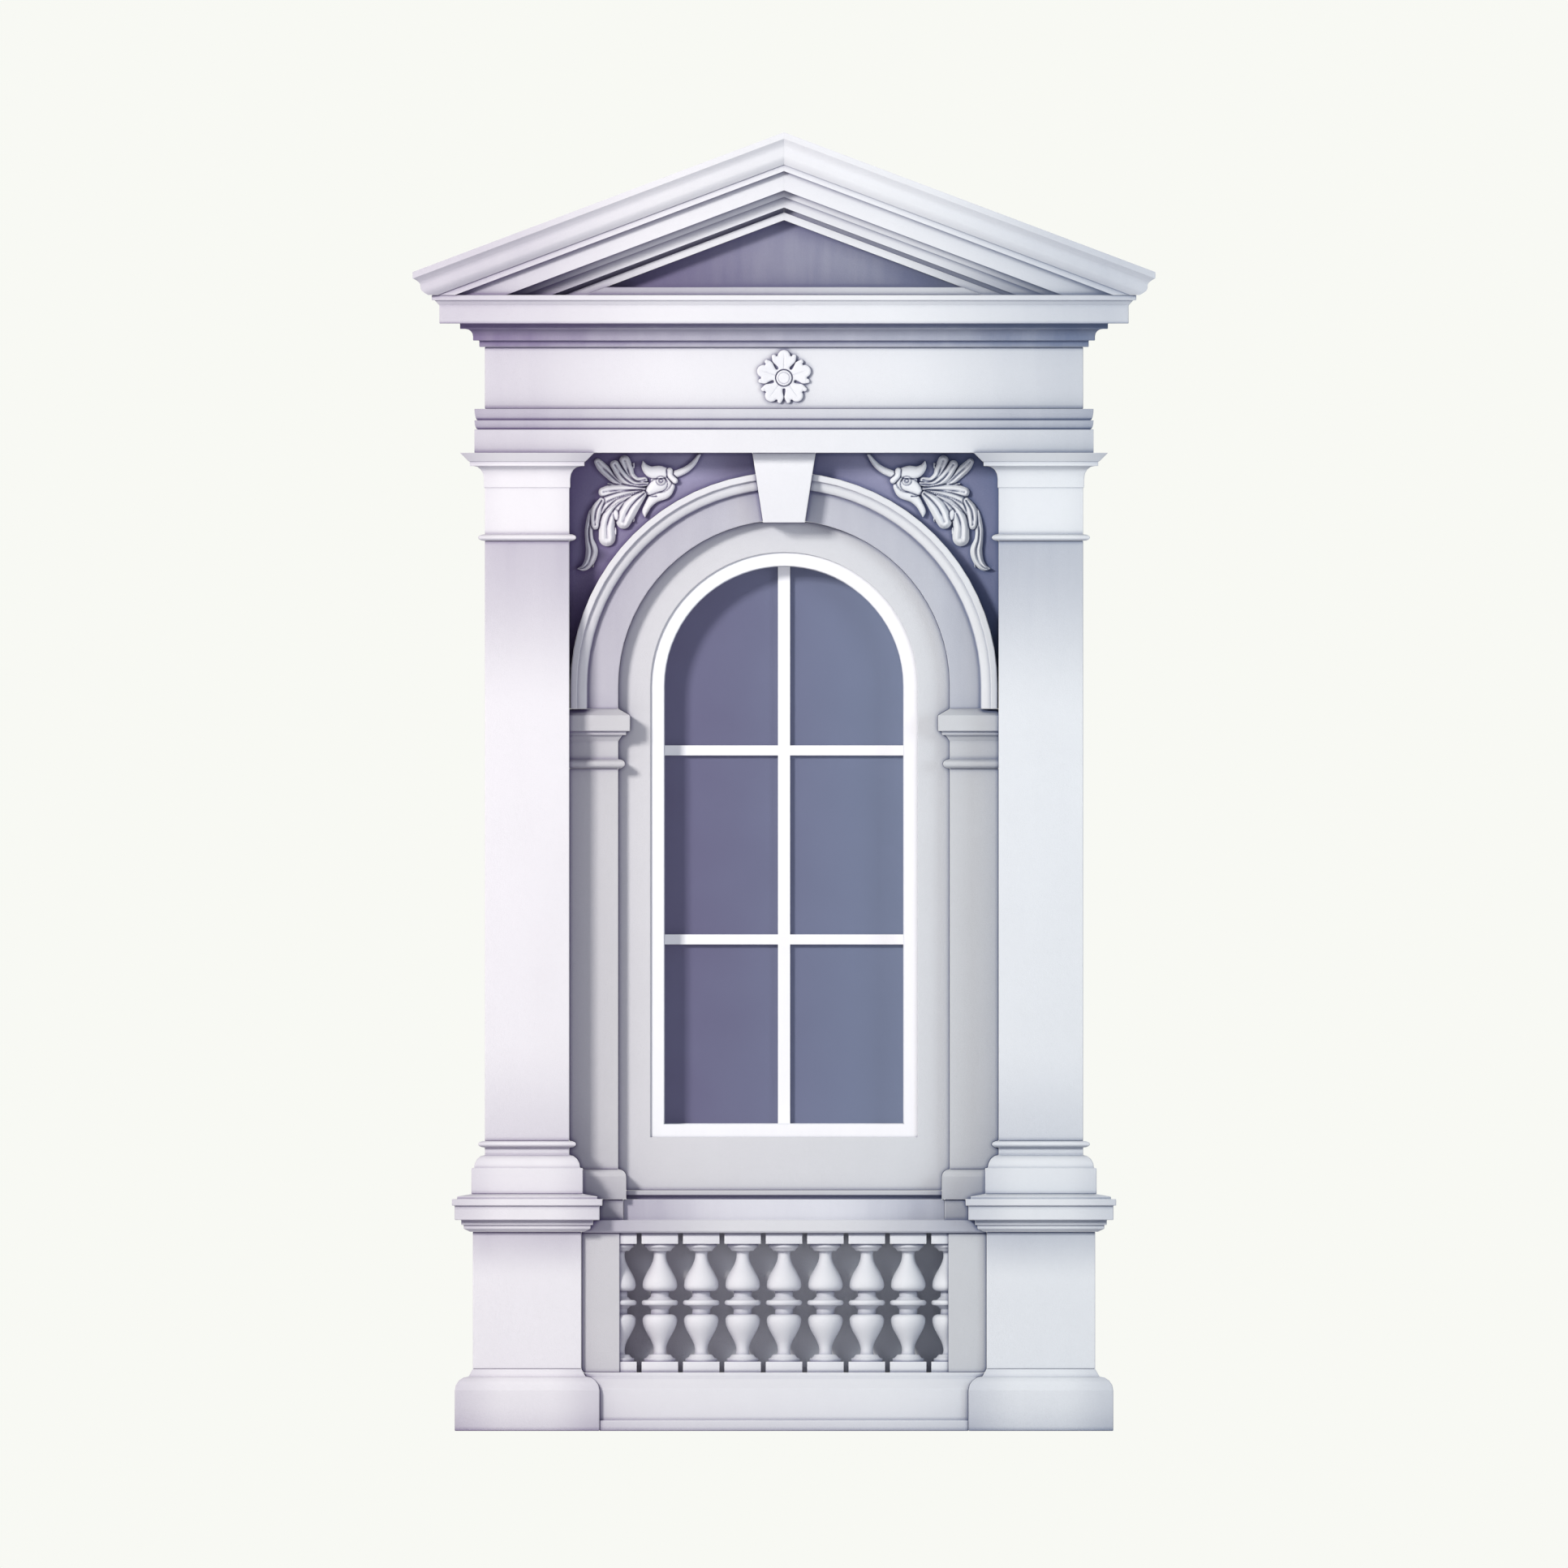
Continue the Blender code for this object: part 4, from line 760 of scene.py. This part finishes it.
def closed_behind(mesh, y):
    """Walls from an open relief's rim back to a flat back, which is filled."""
    bm = bmesh.new()
    bm.from_mesh(mesh)
    bmesh.ops.remove_doubles(bm, verts=bm.verts, dist=SAME_POINT)
    rim = [edge for edge in bm.edges if edge.is_boundary]
    walls = bmesh.ops.extrude_edge_only(bm, edges=rim)
    for item in walls["geom"]:
        if isinstance(item, bmesh.types.BMVert):
            item.co.y = y
    low = [edge for edge in bm.edges if edge.is_boundary]
    bmesh.ops.triangle_fill(bm, edges=low, use_beauty=True)
    bmesh.ops.recalc_face_normals(bm, faces=bm.faces)
    bm.to_mesh(mesh)
    bm.free()
    smoothed(mesh, CARVED_CREASE)
    return mesh


# Leaves of the spandrel ornament, from the back one to the front one. Places are across from the
# pilaster's face and down from the architrave; then come half widths along the leaf, its lift and crown.
LEAVES = (
    (((0.327, 0.154), (0.268, 0.150), (0.214, 0.127), (0.167, 0.086), (0.140, 0.061), (0.122, 0.039)),
     (0.006, 0.012, 0.018, 0.022, 0.021, 0.015), 0.000, 0.012),
    (((0.255, 0.085), (0.270, 0.060), (0.279, 0.045)), (0.018, 0.011, 0.002), 0.001, 0.009),
    (((0.327, 0.117), (0.292, 0.123), (0.264, 0.101), (0.250, 0.066), (0.239, 0.034)),
     (0.012, 0.017, 0.020, 0.024, 0.023), 0.002, 0.014),
    (((0.338, 0.135), (0.284, 0.137), (0.245, 0.117), (0.217, 0.086), (0.196, 0.052)),
     (0.008, 0.014, 0.020, 0.023, 0.020), 0.005, 0.015),
    (((0.210, 0.155), (0.184, 0.142), (0.165, 0.131)), (0.016, 0.008, 0.001), 0.002, 0.008),
    (((0.327, 0.162), (0.268, 0.162), (0.214, 0.163), (0.175, 0.166), (0.147, 0.170)),
     (0.010, 0.021, 0.026, 0.026, 0.021), 0.003, 0.014),
    (((0.094, 0.462), (0.099, 0.480), (0.103, 0.495)), (0.013, 0.008, 0.001), 0.002, 0.008),
    (((0.307, 0.168), (0.237, 0.184), (0.167, 0.211), (0.116, 0.254), (0.087, 0.316), (0.086, 0.371),
      (0.097, 0.422), (0.087, 0.467), (0.064, 0.495), (0.036, 0.500)),
     (0.008, 0.018, 0.026, 0.028, 0.018, 0.018, 0.026, 0.022, 0.014, 0.002), 0.003, 0.016),
    (((0.140, 0.207), (0.118, 0.246), (0.111, 0.285), (0.112, 0.312)),
     (0.014, 0.023, 0.022, 0.019), 0.007, 0.014),
    (((0.186, 0.330), (0.193, 0.348), (0.198, 0.364)), (0.016, 0.009, 0.001), 0.006, 0.008),
    (((0.268, 0.191), (0.214, 0.223), (0.179, 0.266), (0.163, 0.316), (0.163, 0.367)),
     (0.010, 0.024, 0.029, 0.033, 0.036), 0.006, 0.017),
    (((0.266, 0.268), (0.273, 0.284), (0.278, 0.298)), (0.018, 0.009, 0.001), 0.009, 0.008),
    (((0.323, 0.176), (0.292, 0.203), (0.265, 0.234), (0.245, 0.270), (0.234, 0.297)),
     (0.012, 0.026, 0.035, 0.036, 0.031), 0.010, 0.018),
)

# The head, as the leaves are given: horn and jaw behind the skull; muzzle, brow and collar before it
BEHIND_SKULL = (
    (((0.450, 0.096), (0.499, 0.075), (0.534, 0.047), (0.561, 0.009)),
     (0.0165, 0.0145, 0.0115, 0.0065), 0.010, 0.016),
    (((0.425, 0.145), (0.409, 0.168), (0.370, 0.191), (0.343, 0.223), (0.328, 0.252), (0.327, 0.277)),
     (0.030, 0.032, 0.024, 0.016, 0.013, 0.002), 0.014, 0.016),
)
BEFORE_SKULL = (
    (((0.392, 0.135), (0.362, 0.153), (0.347, 0.166)), (0.032, 0.025, 0.017), 0.017, 0.017),
    (((0.412, 0.086), (0.386, 0.084), (0.352, 0.083), (0.326, 0.062), (0.318, 0.037)),
     (0.022, 0.028, 0.024, 0.014, 0.002), 0.019, 0.018),
    (((0.433, 0.078), (0.436, 0.100), (0.456, 0.121)), (0.0135, 0.0125, 0.0125), 0.022, 0.014),
)
SKULL = (0.398, 0.118)
SKULL_RADII = (0.046, 0.052)
SKULL_LIFT = 0.016
SKULL_CROWN = 0.018
EYE = (0.396, 0.121)
EYE_RADII = (0.0175, 0.0165)
LID_RISE = 0.008
PUPIL_RISE = 0.011
EYE_DEPTH = 0.009
SOCKET_DEPTH = 0.005
BERRY = (0.202, 0.268)
BERRY_RADII = (0.0125, 0.024)
BERRY_TURN = -0.15
BERRY_LIFT = 0.020
BERRY_CROWN = 0.008
LEAST_HEIGHT = 0.003

# Cut lines, the mouth and a fold: places, half width and depth
LINES = (
    (((0.377, 0.188), (0.358, 0.189), (0.344, 0.183), (0.333, 0.170)), 0.003, 0.008),
    (((0.329, 0.166), (0.285, 0.178), (0.230, 0.203), (0.185, 0.232), (0.146, 0.262)), 0.0028, 0.006),
)


def carve_ornament():
    """Acanthus leaves that spring from a horned and collared head."""
    work = Carving(*ORNAMENT_GRID, CARVING_PITCH)
    for places, widths, lift, crown in LEAVES:
        work.leaf(places, widths, lift, crown)
    depth, _ = work.oval(BERRY, BERRY_RADII, BERRY_TURN)
    work.swell(depth, min(BERRY_RADII), BERRY_LIFT, BERRY_CROWN)
    for form in BEHIND_SKULL:
        work.roll(*form)
    depth, _ = work.oval(SKULL, SKULL_RADII)
    work.swell(depth, min(SKULL_RADII), SKULL_LIFT, SKULL_CROWN)
    for form in BEFORE_SKULL:
        work.roll(*form)
    _, share = work.oval(EYE, EYE_RADII)
    lid = np.exp(-(((share - 0.80) / 0.17) ** 2)) * LID_RISE
    pupil = PUPIL_RISE * np.clip(1 - (share / 0.40) ** 2, 0, 1)
    hollow = -EYE_DEPTH * np.clip(1 - share, 0, 1) ** 0.4
    socket = -SOCKET_DEPTH * np.exp(-(((share - 1.20) / 0.14) ** 2))
    work.height = work.height + np.where(share < 1.5, lid + pupil + hollow + socket, 0)
    for line in LINES:
        work.groove(*line)
    work.height = np.maximum(work.height, LEAST_HEIGHT)
    return work


def make_ornaments(finish):
    work = carve_ornament()
    for side, word in ((-1, "left"), (1, "right")):
        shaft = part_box(f"pilaster_shaft_{word}")
        bay = abs(shaft[1].x) if side < 0 else abs(shaft[0].x)
        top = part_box("architrave")[0].z
        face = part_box(f"spandrel_{word}")[0].y

        def to_space(a, b, height):
            return (side * (bay - a), face - height, top - b)

        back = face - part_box(f"spandrel_ornament_{word}")[1].y
        name = f"carved_spandrel_ornament_{word}"
        piece = new_piece(name, work.mesh(name, to_space, back))
        set_in_place(piece, [f"spandrel_ornament_{word}"], "pale_stone", finish)


# Rosette: lobes of a petal as their turn from its middle, distance from the centre and radius, and the
# slit between petals as half its width at distances from the centre
PETALS = 5
PETAL_LOBES = ((0, 0.094, 0.027), (0.447, 0.101, 0.0105), (-0.447, 0.101, 0.0105))
PETAL_BODY = 0.0995
SLIT = ((0.052, 0.0064), (0.060, 0.0058), (0.070, 0.0036), (0.080, 0.0012), (0.090, 0.0028),
        (0.100, 0.0072), (0.112, 0.0130), (0.126, 0.0190))
PETAL_TIP = 0.118
PETAL_EDGE = 0.010
RIM_WIDTH = 0.008
RIM_RISE = 0.005
DISH_RISE = 0.004
FOLD_HALF = 0.0025
FOLD_DEPTH = 0.002
FOLD_END = 0.112
FOLD_RUNOUT = 0.03
BOSS = 0.034
BOSS_EDGE = 0.014
BOSS_RISE = 0.009
BUTTON = 0.0245
BUTTON_LINE_HALF = 0.0018
BUTTON_LINE_DEPTH = 0.003


def carve_rosette():
    """Five petals of three lobes each, parted by slits, round a boss with a button."""
    work = Carving(*ROSETTE_GRID, ROSETTE_PITCH)
    radius = np.hypot(work.a, work.b)
    turn = np.arctan2(-work.b, work.a)
    petals = PETAL_BODY - radius
    slits = np.full(radius.shape, -1.0)
    for petal in range(PETALS):
        middle = math.pi / 2 + 2 * math.pi * petal / PETALS
        for aside, at, size in PETAL_LOBES:
            lobe = Vector((math.cos(middle + aside), -math.sin(middle + aside))) * at
            petals = np.maximum(petals, size - np.hypot(work.a - lobe.x, work.b - lobe.y))
        gap = middle + math.pi / PETALS
        ray = np.array((math.cos(gap), -math.sin(gap)))
        depth, *_ = work.stroke([ray * along for along, _ in SLIT], [half for _, half in SLIT], 60)
        slits = np.maximum(slits, depth)
    depth = np.minimum(petals, -slits)
    half_petal = math.pi / PETALS
    folded = np.abs((turn - math.pi / 2 + half_petal) % (2 * half_petal) - half_petal)
    rim = np.clip(depth / RIM_WIDTH, 0, 1)
    dish = 0.5 - 0.5 * np.cos(math.pi * np.clip((radius - BOSS) / (PETAL_TIP - BOSS), 0, 1))
    fold = np.exp(-((radius * folded / FOLD_HALF) ** 2))
    fold = fold * np.clip((FOLD_END - radius) / FOLD_RUNOUT, 0, 1)
    height = PETAL_EDGE + RIM_RISE * np.sqrt(rim) + DISH_RISE * dish - FOLD_DEPTH * fold
    work.lay(depth, height, PETAL_EDGE)
    share = np.clip(radius / BOSS, 0, 1)
    work.lay(BOSS - radius, BOSS_EDGE + BOSS_RISE * np.sqrt(1 - share**6 + NEVER_BELOW), BOSS_EDGE)
    line = np.exp(-(((radius - BUTTON) / BUTTON_LINE_HALF) ** 2))
    work.height = work.height - BUTTON_LINE_DEPTH * line
    return work


def make_rosette(finish):
    low, high = levels("frieze")
    centre_z = (low + high) / 2
    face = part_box("frieze_rosette")[1].y

    def to_space(a, b, height):
        return (a, face - height, centre_z - b)

    piece = new_piece("carved_rosette", carve_rosette().mesh("carved_rosette", to_space, 0))
    set_in_place(piece, ["frieze_rosette"], "pale_stone", finish)


def pale_floor():
    mesh = bpy.data.meshes.new("floor")
    corners = [(x * FLOOR_HALF, y * FLOOR_HALF, 0) for x, y in ((-1, -1), (1, -1), (1, 1), (-1, 1))]
    mesh.from_pydata(corners, [], [(0, 1, 2, 3)])
    floor = new_piece("floor", mesh)
    f = Finish("pale floor")
    cloud = f.grain(FLOOR_CLOUDS)
    tone = FLOOR_TONE + 0.02 * cloud
    colour = f.node("ShaderNodeCombineColor", inputs={0: tone, 1: tone, 2: 0.03 + tone})
    mesh.materials.append(f.surface(colour, FLOOR_ROUGHNESS, cloud, FLOOR_RELIEF))


def surroundings():
    """A plain pale background that lights the object softly."""
    world = bpy.data.worlds.new("pale studio")
    bpy.context.scene.world = world
    world.use_nodes = True
    world.node_tree.nodes.clear()
    n = Nodes(world.node_tree)
    seen = n.node("ShaderNodeLightPath", out="Is Camera Ray")
    soft = n.node("ShaderNodeBackground", inputs={"Color": SKY, "Strength": SKY_STRENGTH})
    plain = n.node("ShaderNodeBackground", inputs={"Color": BACKDROP, "Strength": 1.0})
    both = n.node("ShaderNodeMixShader", inputs={0: seen, 1: soft, 2: plain})
    n.node("ShaderNodeOutputWorld", inputs={"Surface": both})


def soft_light(name, place, size, power, colour):
    """A square light that faces the middle of the front."""
    lamp = bpy.data.lights.new(name, "AREA")
    lamp.shape = "SQUARE"
    lamp.size = size
    lamp.energy = power
    lamp.color = colour
    light = bpy.data.objects.new(name, lamp)
    bpy.context.scene.collection.objects.link(light)
    light.location = place
    light.rotation_euler = (Vector(LIT_POINT) - Vector(place)).to_track_quat("-Z", "Y").to_euler()


def camera():
    data = bpy.data.cameras.new("camera")
    data.type = "ORTHO"
    data.ortho_scale = PICTURE * PIXEL
    data.clip_end = FARTHEST
    eye = bpy.data.objects.new("camera", data)
    bpy.context.scene.collection.objects.link(eye)
    eye.location = (0, -EYE_AWAY, (GROUND_LINE - PICTURE / 2) * PIXEL)
    eye.rotation_euler = (math.pi / 2, 0, 0)
    bpy.context.scene.camera = eye


bpy.context.scene.view_settings.view_transform = "Standard"
pale_floor()
surroundings()
for light in LIGHTS:
    soft_light(*light)
camera()

shaft_foot, shaft_head = levels("pilaster_shaft_left")
die_head = levels("pedestal_die_left")[1]
rail_head = levels("balustrade_rail")[1]
cornice_foot, cornice_head = levels("cornice")
architrave_head = levels("architrave")[1]
strip_head = cornice_head + FOOT_STRIP
front_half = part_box("frieze")[1].x
bay_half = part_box("apron")[1].x
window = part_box("window_frame")[1]
arch_centre = window.z - window.x
band_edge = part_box("arch_right")[1].x - ARCH_ROLLS
# Painted shade: darker towards the ends of a long course
ends = ("from_middle", 0.30 * front_half, 1.1 * front_half, 0.30)
# Painted shade: darker towards the sides of a block, away from its column's axis
sides = ("from_axis", 0.08, 0.33, 0.24)
ashlar = stone("pale limestone")
block_stone = stone("pale limestone, darker at its sides", fades=(sides,))
# Painted shade: the pedestal die darker under its cap
die_stone = stone(
    "pale limestone, stained under the cap",
    fades=(("height", die_head - 0.22, die_head, 0.30),),
)
long_course = stone("pale limestone, darker at its ends", reach=LONG_REACH, fades=(ends,))
# Painted shade: the pilaster shaft darker under its capital, and a little darker towards its foot
shaft_stone = stone(
    "pale limestone, stained under the capital",
    fades=(
        ("height", shaft_head - 0.80, shaft_head, 0.40),
        ("height", shaft_foot + 0.45, shaft_foot, 0.18),
    ),
)
# Painted shade: darker copies of the stone for the inner piers, imposts, sill and end blocks, and for the
# wall of the recess
shaded_inner_stone = stone("grey-shaded limestone", lightness=0.76, painted_shade=1.15, reach=0.24)
wall_stone = stone("grey-shaded limestone of the recess", lightness=0.86)
# Painted shade: a darker copy of the stone for the arch, darker still on its flat band inside the rolls
arch_stone = stone(
    "grey-shaded limestone of the arch",
    lightness=0.94,
    reach=0.10,
    fades=((arch_centre, band_edge + 0.003, band_edge, 0.38),),
)
# Painted shade: a darker copy of the stone for the rail, darker towards its ends
rail_stone = stone(
    "grey-shaded limestone of the rail",
    lightness=0.90,
    fades=(("from_middle", 0.15, 1.2 * bay_half, 0.42),),
)
# Painted shade: a dark purple copy of the stone for the spandrels, darker towards their outer corners
deep_shade_stone = stone(
    "dark-shaded limestone",
    lightness=0.64,
    painted_shade=1.6,
    reach=0.46,
    fades=(("from_middle", 0.35, front_half * 0.72, 0.34),),
    cast=PURPLE_SHADE_CAST,
)
# Painted shade: the tympanum darker above its pale foot strip, and darker still towards its left
slate_shade_stone = stone(
    "slate-grey limestone over a pale foot strip",
    painted_shade=1.1,
    reach=0.20,
    fades=(
        ("height", strip_head - 0.003, strip_head, 0.56),
        ("across", 0.7, -0.7, 0.24),
    ),
)
# Painted shade: the cornice darker towards its ends and on its bed mouldings under the drip
bed_stone = stone(
    "pale limestone, darker under its drip",
    reach=LONG_REACH,
    fades=(ends, ("height", cornice_foot + 0.115, cornice_foot + 0.095, 0.50)),
)
# Painted shade: the architrave darker towards its ends and on its top bands
band_stone = stone(
    "pale limestone, darker at its top bands",
    reach=LONG_REACH,
    fades=(ends, ("height", architrave_head - 0.095, architrave_head - 0.085, 0.24)),
)
# Painted light and shade: the apron made lighter than the other stone where the balusters shade it, and
# darker towards its ends and above the rail
apron_stone = stone(
    "lightened limestone behind the balusters",
    lightness=1.18,
    painted_shade=0.10,
    reach=0.05,
    fades=(
        ("from_middle", 0.2, bay_half, 0.30),
        ("height", rail_head - 0.01, rail_head + 0.01, 0.26),
    ),
)
carved = stone("white limestone, carved", lightness=1.04, painted_shade=0.95, reach=0.03, joint=0.011)
bright = stone("white limestone", lightness=1.0, painted_shade=0.6, reach=0.05)
timber = painted_timber()
glass = window_glass()

FINISHES = (
    ("keystone", "pale_stone", bright),
    ("spandrel", "stone", deep_shade_stone),
    ("tympanum", "stone", slate_shade_stone),
    ("apron", "stone", apron_stone),
    ("arch_", "stone", arch_stone),
    ("pier_", "stone", shaded_inner_stone),
    ("impost", "stone", shaded_inner_stone),
    ("window_wall", "stone", wall_stone),
    ("sill", "stone", shaded_inner_stone),
    ("balustrade_end", "stone", shaded_inner_stone),
    ("balustrade_rail", "stone", rail_stone),
    ("balustrade_plinth", "stone", long_course),
    ("architrave", "stone", band_stone),
    ("frieze", "stone", long_course),
    ("cornice", "stone", bed_stone),
    ("raking_cornice", "stone", long_course),
    ("pilaster_shaft", "stone", shaft_stone),
    ("pedestal_die", "stone", die_stone),
    ("pedestal", "stone", block_stone),
    ("pilaster", "stone", block_stone),
    ("", "stone", ashlar),
)

baluster_row(ashlar)
make_ornaments(carved)
make_rosette(carved)
made = {"spandrel_ornament_left", "spandrel_ornament_right", "frieze_rosette"}
made |= {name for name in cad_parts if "baluster_" in name and "balustrade" not in name}
for name in sorted(set(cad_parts) - made):
    if name.startswith("glass_pane"):
        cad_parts[name].data.materials.clear()
        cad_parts[name].data.materials.append(glass)
    elif name == "window_frame":
        dressed(name, "painted_timber", timber, TIMBER_ARRIS, pierced=True)
    else:
        slot, finish = next(row[1:] for row in FINISHES if name.startswith(row[0]))
        dressed(name, slot, finish)
